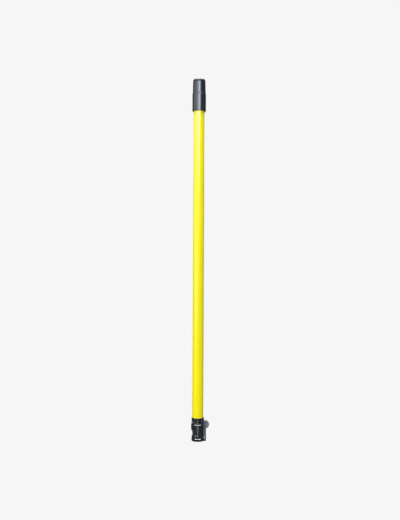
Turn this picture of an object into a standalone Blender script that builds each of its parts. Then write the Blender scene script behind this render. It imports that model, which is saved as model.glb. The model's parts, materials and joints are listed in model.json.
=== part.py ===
"""Telescopic pole: two insulating tubes, a rubber end cap and one cam-lever clamp, shown closed.

Metres, +Z up. Heights in this script are measured up the pole's axis from the face of its tool end. An
empty carries the whole pole and puts the frame's origin on the end face of the cap, which is on top.
The lever is at +X, and the clamp's pocketed front faces -Y. Directions round the axis are in degrees
from +X towards +Y, so the front is at -90.
"""

import math

import bmesh
import bpy
from mathutils import Matrix, Vector

# Clearances
GAP = 0.0003
BORE_CLEARANCE = 0.0006
RIVET_CLEARANCE = 0.0003

# How far a cutter reaches past the surface that it cuts
OVERSHOOT = 0.0015

# Outer tube
OUTER_TUBE_DIAMETER = 0.039
OUTER_TUBE_WALL = 0.003
OUTER_TUBE_LENGTH = 1.238

# Inner tube and how far it slides out
INNER_TUBE_DIAMETER = 0.030
INNER_TUBE_WALL = 0.0025
EXTENSION = 1.05

# End cap: wall thicknesses are counted from the tube
CAP_LENGTH = 0.115
CAP_SKIRT_LENGTH = 0.064
CAP_SKIRT_WALL = 0.0049
CAP_TAPER_WALL_LOW = 0.0044
CAP_TAPER_WALL_HIGH = 0.0027
CAP_STEP_HEIGHT = 0.0012
CAP_END_WALL = 0.0051
CAP_END_ROUND = 0.0055
CAP_GROOVE_DROP = 0.0115
CAP_GROOVE_WIDTH = 0.0024
CAP_GROOVE_DEPTH = 0.0007

# Plug in the cap end of the outer tube
BUTT_PLUG_DEPTH = 0.030
BUTT_PLUG_WALL = 0.0025
BUTT_PLUG_FLANGE = 0.002
BUTT_PLUG_END_WALL = 0.0023

# Plug, split guide ring and stop collar at the hidden end of the inner tube
REAR_PLUG_DEPTH = 0.030
REAR_FLANGE = 0.003
REAR_NECK_RADIUS = 0.010
REAR_HEAD = 0.004
GUIDE_RING_WIDTH = 0.010
GUIDE_RING_SPLIT_DEGREES = 8
STOP_COLLAR_WIDTH = 0.015

# Ferrule and threaded insert at the tool end of the inner tube
FERRULE_LENGTH = 0.028
FERRULE_CHAMFER = 0.0016
FERRULE_SPIGOT = 0.030
INSERT_OUTER_RADIUS = 0.0075
INSERT_BORE_RADIUS = 0.0051
INSERT_LENGTH = 0.024
INSERT_RECESS = 0.0005

# Flush rivets through the inner tube
FLUSH_RIVET_RADIUS = 0.0016
FLUSH_RIVET_LENGTH = 0.0045
FLUSH_RIVET_SETBACK = 0.015

# Clamp housing: heights above its own lower face
NOSE_PROUD = 0.002
RING_LEDGE_RISE = 0.0112
RING_TOP_RISE = 0.0207
WAIST_RISE = 0.0240
BAND_RISE = 0.0400
BAND_TOP_RISE = 0.0600
HOUSING_HEIGHT = 0.0805
WIPER_SEAT_RISE = 0.0340
TUBE_SEAT_RISE = 0.0460

# Clamp housing: heights of its edges and of the plain band at its upper end
EDGE_CHAMFER = 0.0012
LEDGE_SLOPE = 0.0016
COLLAR_STEP = 0.0018
COLLAR_BAND = 0.0049

# Clamp housing: walls outside the tubes
RING_LOW_WALL = 0.0070
RING_HIGH_WALL = 0.0055
RING_RECESS_WALL = 0.0046
WAIST_WALL = 0.0028
WAIST_TOP_WALL = 0.0054
BAND_WALL = 0.0040
COLLAR_LOW_WALL = 0.0027
COLLAR_HIGH_WALL = 0.0014
LIP_WALL = 0.0009

# Front and back pockets, ribs and the bare oval boss
POCKET_HALF_WIDTH = 0.0125
POCKET_FLOOR_WALL = 0.0021
POCKET_ROOF = 0.0016
RIB_HALF_WIDTH = 0.0020
RIB_TOP_DROP = 0.0045
RIB_FOOT_RISE = 0.0120
RIB_FOOT_WALL = 0.0062
SIDE_RIB_HALF_WIDTH = 0.0011
BOSS_HALF_WIDTH = 0.0064
BOSS_HALF_HEIGHT = 0.0084
BOSS_RISE = 0.0440
BOSS_PROUD = 0.0003
BOSS_HOLE_RADIUS = 0.0024
BOSS_HOLE_DEPTH = 0.0030

# Guide bush and wiper in the housing
WIPER_WIDTH = 0.0024
GUIDE_SEAT_DEPTH = 0.0023

# Brake shoe and its pad
PAD_THICKNESS = 0.0010
SHOE_THICKNESS = 0.0024
SHOE_HALF_WIDTH = 0.0065
SHOE_FLOOR_RISE = 0.0030
SHOE_HEIGHT = 0.0165

# Lever, its cam and the pivot
CAM_THROW = 0.0012
CAM_RADIUS = 0.0040
HUB_RADIUS = 0.0046
PIVOT_RISE = 0.0115
PIVOT_RADIUS = 0.0020
LUG_THICKNESS = 0.0032
LUG_RADIUS = 0.0058
LUG_TOE = 0.0023
LEVER_HALF_WIDTH = 0.0100
LEVER_FLANGE = 0.0018
LEVER_FOOT_RADIUS = 0.0063
LEVER_DEPTH = 0.0053
LEVER_REACH = 0.0610
LEVER_ROOT_TOP = 0.0165
LEVER_END_ROUND = 0.0030
LEVER_GROOVE_WIDTH = 0.0024
LEVER_GROOVE_DEPTH = 0.0008
BACK_WALL = 0.0022
CHANNEL_WALL = 0.00124
LOBE_RADIUS = 0.0148
LOBE_RISE = 0.0480
LOBE_OFFSET = 0.0017
LOBE_HALF_WIDTH = 0.0080
LOBE_RIM = 0.0030
LOBE_RECESS = 0.0015

# Pivot screw, washers and nut
WASHER_THICKNESS = 0.0008
WASHER_RADIUS = 0.0038
SCREW_HEAD_RADIUS = 0.0034
SCREW_HEAD_THICKNESS = 0.0018
NUT_ACROSS_FLATS = 0.0070
NUT_THICKNESS = 0.0028
SCREW_END_PROUD = 0.0006

# Rivets that hold the housing to the outer tube
HOUSING_RIVET_ANGLES = (-148, 148)
HOUSING_RIVET_MARGIN = 0.0013
HOUSING_RIVET_RADIUS = 0.0020
HOUSING_RIVET_HEAD_RADIUS = 0.0031
HOUSING_RIVET_HEAD = 0.0013
HOUSING_RIVET_EDGE = 0.0004

# Facets
ROUND_STEPS = 48
SMALL_STEPS = 16
SMOOTH_ANGLE = math.radians(35)

# Tube radii
OUTER_R = OUTER_TUBE_DIAMETER / 2
OUTER_BORE = OUTER_R - OUTER_TUBE_WALL
INNER_R = INNER_TUBE_DIAMETER / 2
INNER_BORE = INNER_R - INNER_TUBE_WALL

# Heights up the pole
HOUSING_LOW = NOSE_PROUD
HOUSING_TOP = HOUSING_LOW + HOUSING_HEIGHT
COLLAR_LOW = HOUSING_LOW + BAND_TOP_RISE + COLLAR_STEP
RIB_TOP = HOUSING_TOP - RIB_TOP_DROP
HOUSING_RIVET_Z = COLLAR_LOW + HOUSING_RIVET_MARGIN + HOUSING_RIVET_HEAD_RADIUS
WIPER_SEAT = HOUSING_LOW + WIPER_SEAT_RISE
TUBE_SEAT = HOUSING_LOW + TUBE_SEAT_RISE
OUTER_LOW = TUBE_SEAT + GAP
OUTER_TOP = OUTER_LOW + OUTER_TUBE_LENGTH
BUTT_FLANGE_LOW = OUTER_TOP + GAP
BUTT_FLANGE_TOP = BUTT_FLANGE_LOW + BUTT_PLUG_FLANGE
CAP_CAVITY_TOP = BUTT_FLANGE_TOP + GAP
CAP_TOP = CAP_CAVITY_TOP + CAP_END_WALL
CAP_LOW = CAP_TOP - CAP_LENGTH
BUTT_PLUG_LOW = OUTER_TOP - BUTT_PLUG_DEPTH
REAR_HEAD_TOP = BUTT_PLUG_LOW - GAP
REAR_HEAD_LOW = REAR_HEAD_TOP - REAR_HEAD
GUIDE_RING_TOP = REAR_HEAD_LOW - GAP
GUIDE_RING_LOW = GUIDE_RING_TOP - GUIDE_RING_WIDTH
REAR_FLANGE_TOP = GUIDE_RING_LOW - GAP
REAR_FLANGE_LOW = REAR_FLANGE_TOP - REAR_FLANGE
INNER_TOP = REAR_FLANGE_LOW - GAP
INNER_LOW = FERRULE_LENGTH + GAP
STOP_COLLAR_LOW = TUBE_SEAT + GAP + EXTENSION

# Housing bores
GUIDE_SEAT_R = INNER_R + GUIDE_SEAT_DEPTH + GAP
TUBE_SEAT_R = OUTER_R + GAP
PLAIN_BORE_R = INNER_R + BORE_CLEARANCE
BAND_R = OUTER_R + BAND_WALL

# Brake, cam and pivot along +X
PAD_R = INNER_R + GAP
SHOE_R = PAD_R + PAD_THICKNESS + GAP
SHOE_BACK_X = SHOE_R + SHOE_THICKNESS
SHOE_LOW = HOUSING_LOW + SHOE_FLOOR_RISE
PIVOT_X = SHOE_BACK_X + GAP + CAM_RADIUS + CAM_THROW
PIVOT_Z = HOUSING_LOW + PIVOT_RISE
SLOT_HALF_WIDTH = SHOE_HALF_WIDTH + GAP
LUG_OUTER_Y = SLOT_HALF_WIDTH + LUG_THICKNESS

# Lever against the housing's back rib
BACK_RIB_X = TUBE_SEAT_R + BACK_WALL
FLANGE_INNER_Y = LEVER_HALF_WIDTH - LEVER_FLANGE
CHANNEL_INNER_Y = FLANGE_INNER_Y - GAP
CHANNEL_X = math.sqrt(TUBE_SEAT_R ** 2 - CHANNEL_INNER_Y ** 2) + CHANNEL_WALL
LEVER_OUTER_X = PIVOT_X + LEVER_DEPTH
LEVER_FOOT_Z = PIVOT_Z + LEVER_FOOT_RADIUS
LEVER_TOP_Z = PIVOT_Z + LEVER_REACH
LOBE_X = PIVOT_X + LOBE_OFFSET
LOBE_Z = PIVOT_Z + LOBE_RISE

materials = {}


# Mesh helpers

def polar(radius, degrees, height):
    """A point at a radius and direction round the pole's axis."""
    angle = math.radians(degrees)
    return Vector((radius * math.cos(angle), radius * math.sin(angle), height))


def arc(centre, radius, start, end, steps):
    """Points on a flat arc, in degrees, both ends included."""
    points = []
    for step in range(steps + 1):
        angle = math.radians(start + (end - start) * step / steps)
        points.append((centre[0] + radius * math.cos(angle), centre[1] + radius * math.sin(angle)))
    return points


def circle(centre, radius, steps=SMALL_STEPS):
    """Points on a flat circle."""
    return arc(centre, radius, 0, 360, steps)[:-1]


def finish_mesh(name, mesh_builder):
    """Turn a bmesh into an object with outward faces and smooth round sides."""
    bmesh.ops.recalc_face_normals(mesh_builder, faces=mesh_builder.faces)
    mesh = bpy.data.meshes.new(name)
    mesh_builder.to_mesh(mesh)
    mesh_builder.free()
    mesh.shade_smooth()
    mesh.set_sharp_from_angle(angle=SMOOTH_ANGLE)
    made = bpy.data.objects.new(name, mesh)
    bpy.context.scene.collection.objects.link(made)
    return made


def bridge(mesh_builder, first, second):
    """Faces between two rings, where a ring of one vertex is a point on the axis."""
    count = max(len(first), len(second))
    if count == 1:
        return
    for step in range(count):
        following = (step + 1) % count
        corners = [first[step % len(first)], first[following % len(first)]]
        corners += [second[following % len(second)], second[step % len(second)]]
        unique = list(dict.fromkeys(corners))
        mesh_builder.faces.new(unique)


def lathe(name, profile, steps=ROUND_STEPS):
    """A body turned about the pole's axis from a closed loop of (radius, height) points."""
    mesh_builder = bmesh.new()
    rings = []
    for radius, height in profile:
        count = steps if radius > 0 else 1
        points = [polar(radius, 360 * step / count, height) for step in range(count)]
        rings.append([mesh_builder.verts.new(point) for point in points])
    for first, second in zip(rings, rings[1:] + rings[:1]):
        bridge(mesh_builder, first, second)
    return finish_mesh(name, mesh_builder)


def sleeve(name, inner, outer, low, high):
    """A plain round tube."""
    return lathe(name, [(outer, low), (outer, high), (inner, high), (inner, low)])


def arc_block(name, inner, outer, start, end, low, high, steps, outer_low=None):
    """Part of a round tube between two directions. Its lower face can slope down to outer_low outside."""
    mesh_builder = bmesh.new()
    sections = []
    if outer_low is None:
        outer_low = low
    for step in range(steps + 1):
        degrees = start + (end - start) * step / steps
        corners = [(inner, low), (outer, outer_low), (outer, high), (inner, high)]
        points = [polar(radius, degrees, height) for radius, height in corners]
        sections.append([mesh_builder.verts.new(point) for point in points])
    for first, second in zip(sections, sections[1:]):
        bridge(mesh_builder, first, second)
    mesh_builder.faces.new(sections[0])
    mesh_builder.faces.new(sections[-1])
    return finish_mesh(name, mesh_builder)


def prism(name, outline, axis, low, high):
    """An outline pushed along one axis. The outline's own two axes keep X, Y, Z order."""
    mesh_builder = bmesh.new()
    ends = []
    for along in (low, high):
        ring = []
        for first, second in outline:
            placed = {"X": (along, first, second), "Y": (first, along, second), "Z": (first, second, along)}
            ring.append(mesh_builder.verts.new(placed[axis]))
        ends.append(ring)
    bridge(mesh_builder, ends[0], ends[1])
    for ring in ends:
        mesh_builder.faces.new(ring)
    return finish_mesh(name, mesh_builder)


def box(name, x_range, y_range, z_range):
    """A plain block."""
    low_x, high_x = x_range
    low_y, high_y = y_range
    outline = [(low_x, low_y), (high_x, low_y), (high_x, high_y), (low_x, high_y)]
    return prism(name, outline, "Z", *z_range)


def turned(made, degrees):
    """Turn an object's mesh about the pole's axis."""
    made.data.transform(Matrix.Rotation(math.radians(degrees), 4, "Z"))
    return made


def radial_pin(name, radius, start, end, height, degrees, steps=SMALL_STEPS):
    """A round pin that points away from the pole's axis in one direction."""
    return turned(prism(name, circle((0, height), radius, steps), "X", start, end), degrees)


def move_origin(made, point):
    """Put an object's origin on its joint's axis, with its shape where it was."""
    made.data.transform(Matrix.Translation(-Vector(point)))
    made.location = point


def combine(target, tool, operation):
    """Join a shape to an object or cut it out. The shape stays as a hidden guide that moves along."""
    tool.name = f"{target.name}_{tool.name}_guide"
    tool.data.transform(Matrix.Translation(-target.location))
    tool.parent = target
    tool.hide_render = True
    tool.display_type = "WIRE"
    modifier = target.modifiers.new(tool.name, "BOOLEAN")
    modifier.operation = operation
    modifier.solver = "EXACT"
    modifier.object = tool


def cut(target, *tools):
    for tool in tools:
        combine(target, tool, "DIFFERENCE")


def join(target, *tools):
    for tool in tools:
        combine(target, tool, "UNION")


# Materials

def material(name, colour, roughness, metallic=0.0):
    """A Principled material, made once for each name."""
    if name not in materials:
        made = bpy.data.materials.new(name)
        made.use_nodes = True
        shader = made.node_tree.nodes["Principled BSDF"]
        shader.inputs["Base Color"].default_value = (*colour, 1.0)
        shader.inputs["Roughness"].default_value = roughness
        shader.inputs["Metallic"].default_value = metallic
        made.diffuse_color = (*colour, 1.0)
        materials[name] = made
    return materials[name]


def yellow_laminate():
    return material("yellow_laminate", (0.93, 0.84, 0.01), 0.25)


def black_moulding():
    return material("black_moulding", (0.012, 0.012, 0.014), 0.4)


def black_rubber():
    return material("black_rubber", (0.02, 0.021, 0.025), 0.45)


def grey_casting():
    return material("grey_casting", (0.10, 0.10, 0.11), 0.4, 0.6)


def bright_steel():
    return material("bright_steel", (0.62, 0.62, 0.62), 0.3, 1.0)


def pale_nylon():
    return material("pale_nylon", (0.72, 0.70, 0.64), 0.5)


def yellow_brass():
    return material("yellow_brass", (0.72, 0.52, 0.18), 0.3, 1.0)


def grey_felt():
    return material("grey_felt", (0.10, 0.10, 0.10), 0.9)


# Tubes

def inner_rivet_cutter(height):
    """A cross hole right through the inner tube and its plug, for two flush rivets."""
    radius = FLUSH_RIVET_RADIUS + RIVET_CLEARANCE
    return prism("rivet_hole", circle((0, height), radius), "X", -INNER_R - OVERSHOOT, INNER_R + OVERSHOOT)


def outer_tube():
    made = sleeve("outer_tube", OUTER_BORE, OUTER_R, OUTER_LOW, OUTER_TOP)
    for degrees in HOUSING_RIVET_ANGLES:
        cut(made, housing_rivet_hole(degrees))
    return made, yellow_laminate()


def inner_tube():
    made = sleeve("inner_tube", INNER_BORE, INNER_R, INNER_LOW, INNER_TOP)
    for height in flush_rivet_heights():
        cut(made, inner_rivet_cutter(height))
    return made, yellow_laminate()


def flush_rivet_heights():
    """The rivets stand one setback in from each end of the inner tube."""
    return INNER_LOW + FLUSH_RIVET_SETBACK, INNER_TOP - FLUSH_RIVET_SETBACK


# Cap end

def butt_cap():
    """Rubber cap: a plain skirt, a small step, a tapered part, a groove and a rounded end."""
    skirt_r = OUTER_R + CAP_SKIRT_WALL
    step_low = CAP_LOW + CAP_SKIRT_LENGTH
    taper_low_r = OUTER_R + CAP_TAPER_WALL_LOW
    rim_r = OUTER_R + CAP_TAPER_WALL_HIGH
    groove_low = CAP_TOP - CAP_GROOVE_DROP
    groove_top = groove_low + CAP_GROOVE_WIDTH
    round_centre = (rim_r - CAP_END_ROUND, CAP_TOP - CAP_END_ROUND)
    profile = [(OUTER_R + GAP, CAP_LOW), (skirt_r - EDGE_CHAMFER, CAP_LOW), (skirt_r, CAP_LOW + EDGE_CHAMFER)]
    profile += [(skirt_r, step_low), (taper_low_r, step_low + CAP_STEP_HEIGHT)]
    profile += [(rim_r, groove_low), (rim_r - CAP_GROOVE_DEPTH, groove_low + CAP_GROOVE_WIDTH / 2)]
    profile += [(rim_r, groove_top)]
    profile += arc(round_centre, CAP_END_ROUND, 0, 90, 5)
    profile += [(0, CAP_TOP), (0, CAP_CAVITY_TOP), (OUTER_R + GAP, CAP_CAVITY_TOP)]
    return lathe("butt_cap", profile), black_rubber()


def butt_plug():
    """Cup-shaped plug that closes the outer tube under the cap."""
    plug_r = OUTER_BORE - GAP
    bore = plug_r - BUTT_PLUG_WALL
    profile = [(0, BUTT_FLANGE_TOP), (OUTER_R, BUTT_FLANGE_TOP), (OUTER_R, BUTT_FLANGE_LOW)]
    profile += [(plug_r, BUTT_FLANGE_LOW), (plug_r, BUTT_PLUG_LOW), (bore, BUTT_PLUG_LOW)]
    profile += [(bore, BUTT_FLANGE_TOP - BUTT_PLUG_END_WALL), (0, BUTT_FLANGE_TOP - BUTT_PLUG_END_WALL)]
    return lathe("butt_plug", profile), black_moulding()


# Hidden end of the inner section

def rear_plug():
    """Plug with a neck between a flange and a head, where the guide ring rides."""
    plug_r = INNER_BORE - GAP
    flange_r = INNER_R
    plug_low = INNER_TOP - REAR_PLUG_DEPTH
    profile = [(0, plug_low), (plug_r, plug_low), (plug_r, REAR_FLANGE_LOW)]
    profile += [(flange_r, REAR_FLANGE_LOW), (flange_r, REAR_FLANGE_TOP), (REAR_NECK_RADIUS, REAR_FLANGE_TOP)]
    profile += [(REAR_NECK_RADIUS, REAR_HEAD_LOW), (flange_r, REAR_HEAD_LOW), (flange_r, REAR_HEAD_TOP)]
    profile += [(0, REAR_HEAD_TOP)]
    made = lathe("rear_plug", profile)
    cut(made, inner_rivet_cutter(flush_rivet_heights()[1]))
    return made, black_moulding()


def guide_ring():
    """Split ring that guides the hidden end of the inner section in the outer tube."""
    half_split = GUIDE_RING_SPLIT_DEGREES / 2
    inner = REAR_NECK_RADIUS + GAP
    outer = OUTER_BORE - GAP
    heights = (GUIDE_RING_LOW, GUIDE_RING_TOP)
    made = arc_block("guide_ring", inner, outer, half_split, 360 - half_split, *heights, ROUND_STEPS - 1)
    return made, pale_nylon()


def stop_collar():
    """Collar bonded round the inner tube, which meets the guide bush at full extension."""
    top = STOP_COLLAR_LOW + STOP_COLLAR_WIDTH
    return sleeve("stop_collar", INNER_R + GAP, OUTER_BORE - GAP, STOP_COLLAR_LOW, top), pale_nylon()


# Tool end of the inner section

def insert_seat():
    """Radius and top of the insert's seat in the ferrule."""
    return INSERT_OUTER_RADIUS + GAP, INSERT_RECESS + INSERT_LENGTH + GAP


def tip_ferrule():
    """Ferrule as thick as the inner tube, with a spigot in the tube and a seat for the threaded insert."""
    spigot_r = INNER_BORE - GAP
    seat_r, seat_top = insert_seat()
    spigot_top = INNER_LOW + FERRULE_SPIGOT
    profile = [(seat_r, 0), (INNER_R - FERRULE_CHAMFER, 0), (INNER_R, FERRULE_CHAMFER)]
    profile += [(INNER_R, FERRULE_LENGTH), (spigot_r, FERRULE_LENGTH), (spigot_r, spigot_top)]
    profile += [(0, spigot_top), (0, seat_top), (seat_r, seat_top)]
    made = lathe("tip_ferrule", profile)
    cut(made, inner_rivet_cutter(flush_rivet_heights()[0]))
    return made, black_moulding()


def tip_insert():
    """Insert for a tool's threaded stud, open at both ends."""
    top = INSERT_RECESS + INSERT_LENGTH
    return sleeve("tip_insert", INSERT_BORE_RADIUS, INSERT_OUTER_RADIUS, INSERT_RECESS, top), yellow_brass()


def flush_rivet(name, height, side):
    """Rivet that ends level with the inner tube's surface, so that the tube still slides."""
    end = INNER_R
    made = prism(name, circle((0, height), FLUSH_RIVET_RADIUS), "X", end - FLUSH_RIVET_LENGTH, end)
    if side < 0:
        turned(made, 180)
    return made, bright_steel()


# Clamp housing

def housing_profile():
    """Outside of the housing from its lower face to its lip, as if it were solid."""
    low = HOUSING_LOW
    ring_low_r = INNER_R + RING_LOW_WALL
    ring_high_r = INNER_R + RING_HIGH_WALL
    waist_r = INNER_R + WAIST_WALL
    waist_top_r = INNER_R + WAIST_TOP_WALL
    collar_low_r = OUTER_R + COLLAR_LOW_WALL
    collar_high_r = OUTER_R + COLLAR_HIGH_WALL
    lip_r = OUTER_R + LIP_WALL
    profile = [(0, low), (ring_low_r - EDGE_CHAMFER, low), (ring_low_r, low + EDGE_CHAMFER)]
    profile += [(ring_low_r, low + RING_LEDGE_RISE), (ring_high_r, low + RING_TOP_RISE)]
    profile += [(waist_r, low + WAIST_RISE), (waist_top_r, low + BAND_RISE - EDGE_CHAMFER)]
    profile += [(BAND_R - EDGE_CHAMFER, low + BAND_RISE), (BAND_R, low + BAND_RISE + EDGE_CHAMFER)]
    profile += [(BAND_R, low + BAND_TOP_RISE), (collar_low_r, COLLAR_LOW)]
    profile += [(collar_high_r, HOUSING_TOP - COLLAR_BAND), (collar_high_r, HOUSING_TOP - EDGE_CHAMFER)]
    profile += [(lip_r, HOUSING_TOP), (0, HOUSING_TOP)]
    return profile


def housing_bore():
    """Stepped hole: tube seat on top, then the seat of bush and wiper, then a plain bore."""
    low = HOUSING_LOW - OVERSHOOT
    top = HOUSING_TOP + OVERSHOOT
    profile = [(0, low), (PLAIN_BORE_R, low), (PLAIN_BORE_R, WIPER_SEAT), (GUIDE_SEAT_R, WIPER_SEAT)]
    profile += [(GUIDE_SEAT_R, TUBE_SEAT), (TUBE_SEAT_R, TUBE_SEAT), (TUBE_SEAT_R, top), (0, top)]
    return lathe("bore", profile)


def lug(name, side):
    """One of the two lugs that carry the pivot screw."""
    root_x = PLAIN_BORE_R + GAP * 2
    foot_z = HOUSING_LOW + GAP
    outline = [(root_x, foot_z), (PIVOT_X + LUG_TOE, foot_z)]
    outline += arc((PIVOT_X, PIVOT_Z), LUG_RADIUS, -35, 90, 8)
    outline += [(root_x, PIVOT_Z + LUG_RADIUS)]
    inner, outer = sorted((side * (SLOT_HALF_WIDTH - GAP), side * LUG_OUTER_Y))
    return prism(name, outline, "Y", inner, outer)


def pocket(name, middle, side):
    """One of the two shallow pockets beside a central rib, open to the waist below."""
    floor_r = OUTER_R + POCKET_FLOOR_WALL
    near = math.degrees(math.asin(RIB_HALF_WIDTH / BAND_R))
    far = math.degrees(math.asin(POCKET_HALF_WIDTH / BAND_R))
    low = HOUSING_LOW + BAND_RISE - EDGE_CHAMFER * 2
    top = HOUSING_LOW + BAND_TOP_RISE - POCKET_ROOF
    start, end = sorted((middle + side * near, middle + side * far))
    return arc_block(name, floor_r, BAND_R + OVERSHOOT, start, end, low, top, 4)


def ring_recess(name, middle):
    """Shallow recess in the lower ring, as wide as the pockets, with a sloping ledge below it."""
    floor_r = INNER_R + RING_RECESS_WALL
    half = math.degrees(math.asin(POCKET_HALF_WIDTH / (INNER_R + RING_LOW_WALL)))
    ledge = HOUSING_LOW + RING_LEDGE_RISE
    top = HOUSING_LOW + RING_TOP_RISE + OVERSHOOT
    outer = INNER_R + RING_LOW_WALL + OVERSHOOT
    return arc_block(name, floor_r, outer, middle - half, middle + half, ledge, top, 8, ledge - LEDGE_SLOPE)


def collar_rib(name, middle, offset, half_width):
    """Upright rib on the collar, level with the band below it."""
    reach = math.sqrt(BAND_R ** 2 - (abs(offset) + half_width) ** 2)
    low = HOUSING_LOW + BAND_TOP_RISE - POCKET_ROOF / 2
    root = TUBE_SEAT_R - COLLAR_HIGH_WALL
    outline = [(root, low), (reach, low), (reach, RIB_TOP - POCKET_ROOF), (reach - POCKET_ROOF, RIB_TOP)]
    outline += [(root, RIB_TOP)]
    made = prism(name, outline, "Y", offset - half_width, offset + half_width)
    return turned(made, middle)


def waist_rib(name, middle):
    """Central rib from the band down across the waist to the lower ring."""
    low = HOUSING_LOW + RIB_FOOT_RISE
    top = HOUSING_LOW + BAND_RISE + EDGE_CHAMFER * 2
    outline = [(PLAIN_BORE_R, low), (INNER_R + RIB_FOOT_WALL, low), (BAND_R - GAP, top), (PLAIN_BORE_R, top)]
    return turned(prism(name, outline, "Y", -RIB_HALF_WIDTH + GAP / 3, RIB_HALF_WIDTH - GAP / 3), middle)


def oval_boss(name, middle):
    """Bare oval boss in the middle of a pocketed face."""
    points = circle((0, 0), 1, 20)
    centre_z = HOUSING_LOW + BOSS_RISE
    outline = [(BOSS_HALF_WIDTH * y, centre_z + BOSS_HALF_HEIGHT * z) for y, z in points]
    root = INNER_R + WAIST_TOP_WALL - EDGE_CHAMFER
    return turned(prism(name, outline, "X", root, BAND_R + BOSS_PROUD), middle)


def boss_hole(name, middle):
    """Blind round hole in the middle of the boss."""
    face = BAND_R + BOSS_PROUD
    height = HOUSING_LOW + BOSS_RISE
    return radial_pin(name, BOSS_HOLE_RADIUS, face - BOSS_HOLE_DEPTH, face + OVERSHOOT, height, middle, 12)


def lever_bay():
    """Room for the lever: shallow over the back rib and deeper for the lever's two flanges."""
    outer_y = LEVER_HALF_WIDTH + GAP
    far_x = LEVER_OUTER_X
    outline = [(CHANNEL_X, -outer_y), (far_x, -outer_y), (far_x, outer_y), (CHANNEL_X, outer_y)]
    outline += [(CHANNEL_X, CHANNEL_INNER_Y), (BACK_RIB_X, CHANNEL_INNER_Y)]
    outline += [(BACK_RIB_X, -CHANNEL_INNER_Y), (CHANNEL_X, -CHANNEL_INNER_Y)]
    return prism("lever_bay", outline, "Z", PIVOT_Z + LUG_RADIUS + GAP, HOUSING_TOP + OVERSHOOT)


def housing_rivet_hole(degrees):
    radius = HOUSING_RIVET_RADIUS + RIVET_CLEARANCE
    ends = (OUTER_BORE - OVERSHOOT, BAND_R + OVERSHOOT)
    return radial_pin("rivet_hole", radius, *ends, HOUSING_RIVET_Z, degrees)


def clamp_housing():
    """Moulded housing that grips the outer tube and carries bush, wiper, brake shoe and lever."""
    made = lathe("clamp_housing", housing_profile())
    rib_top = HOUSING_LOW + HOUSING_HEIGHT - EDGE_CHAMFER * 2
    rib_low = HOUSING_LOW + WAIST_RISE
    join(made, lug("front_lug", -1), lug("back_lug", 1))
    rib_x = (PLAIN_BORE_R, BACK_RIB_X + GAP)
    join(made, box("back_rib", rib_x, (-FLANGE_INNER_Y, FLANGE_INNER_Y), (rib_low, rib_top)))
    for middle in (-90, 90):
        cut(made, ring_recess("ring_recess", middle))
        join(made, waist_rib("waist_rib", middle))
        join(made, collar_rib("middle_rib", middle, 0, RIB_HALF_WIDTH))
        for side in (-1, 1):
            cut(made, pocket("pocket", middle, side))
            offset = side * (POCKET_HALF_WIDTH + SIDE_RIB_HALF_WIDTH)
            join(made, collar_rib("side_rib", middle, offset, SIDE_RIB_HALF_WIDTH))
        join(made, oval_boss("oval_boss", middle))
        cut(made, boss_hole("boss_hole", middle))
    cut(made, lever_bay(), housing_bore())
    slot_top = SHOE_LOW + SHOE_HEIGHT + GAP
    slot_y = (-SLOT_HALF_WIDTH, SLOT_HALF_WIDTH)
    cut(made, box("slot", (INNER_R / 2, LEVER_OUTER_X), slot_y, (SHOE_LOW - GAP, slot_top)))
    pivot_hole = circle((PIVOT_X, PIVOT_Z), PIVOT_RADIUS + GAP)
    cut(made, prism("pivot_hole", pivot_hole, "Y", -LUG_OUTER_Y * 2, LUG_OUTER_Y * 2))
    for degrees in HOUSING_RIVET_ANGLES:
        cut(made, housing_rivet_hole(degrees))
    return made, black_moulding()


def housing_rivet(name, degrees):
    """Domed rivet through the housing and the tube's wall, ending level with the tube's bore."""
    head_low = OUTER_R + COLLAR_LOW_WALL + GAP
    shank_end = OUTER_BORE + GAP / 3
    shank_r = HOUSING_RIVET_RADIUS
    head_r = HOUSING_RIVET_HEAD_RADIUS
    edge_top = head_low + HOUSING_RIVET_EDGE
    dome = HOUSING_RIVET_HEAD - HOUSING_RIVET_EDGE
    profile = [(0, shank_end), (shank_r, shank_end), (shank_r, head_low), (head_r, head_low)]
    profile += [(head_r * across, edge_top + dome * up) for across, up in arc((0, 0), 1, 0, 90, 3)[:-1]]
    profile += [(0, edge_top + dome)]
    made = lathe(name, profile, SMALL_STEPS)
    made.data.transform(Matrix.Rotation(math.radians(90), 4, "Y"))
    made.location = (0, 0, HOUSING_RIVET_Z)
    made.rotation_euler = (0, 0, math.radians(degrees))
    return made, bright_steel()


def wiper_ring():
    """Felt ring that keeps dirt out of the clamp."""
    low = WIPER_SEAT + GAP
    return sleeve("wiper_ring", INNER_R + GAP, GUIDE_SEAT_R - GAP, low, low + WIPER_WIDTH), grey_felt()


def guide_bush():
    """Bush that guides the inner tube and stops its collar at full extension."""
    low = WIPER_SEAT + GAP + WIPER_WIDTH + GAP
    return sleeve("guide_bush", INNER_R + GAP, GUIDE_SEAT_R - GAP, low, TUBE_SEAT), pale_nylon()


# Brake

def pad_half_angle(radius):
    """Direction at which a round face of this radius meets the side of the shoe."""
    return math.degrees(math.asin(SHOE_HALF_WIDTH / radius))


def brake_pad():
    """Thin pad with the inner tube's curve."""
    outer = PAD_R + PAD_THICKNESS
    half = pad_half_angle(outer)
    made = arc_block("brake_pad", PAD_R, outer, -half, half, SHOE_LOW, SHOE_LOW + SHOE_HEIGHT, 8)
    return made, black_rubber()


def brake_shoe():
    """Block with the pad's curve in front and a flat back, where the cam presses."""
    half = pad_half_angle(SHOE_R)
    outline = arc((0, 0), SHOE_R, -half, half, 8)
    outline += [(SHOE_BACK_X, SHOE_HALF_WIDTH), (SHOE_BACK_X, -SHOE_HALF_WIDTH)]
    made = prism("brake_shoe", outline, "Z", SHOE_LOW, SHOE_LOW + SHOE_HEIGHT)
    return made, pale_nylon()


# Lever

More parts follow.
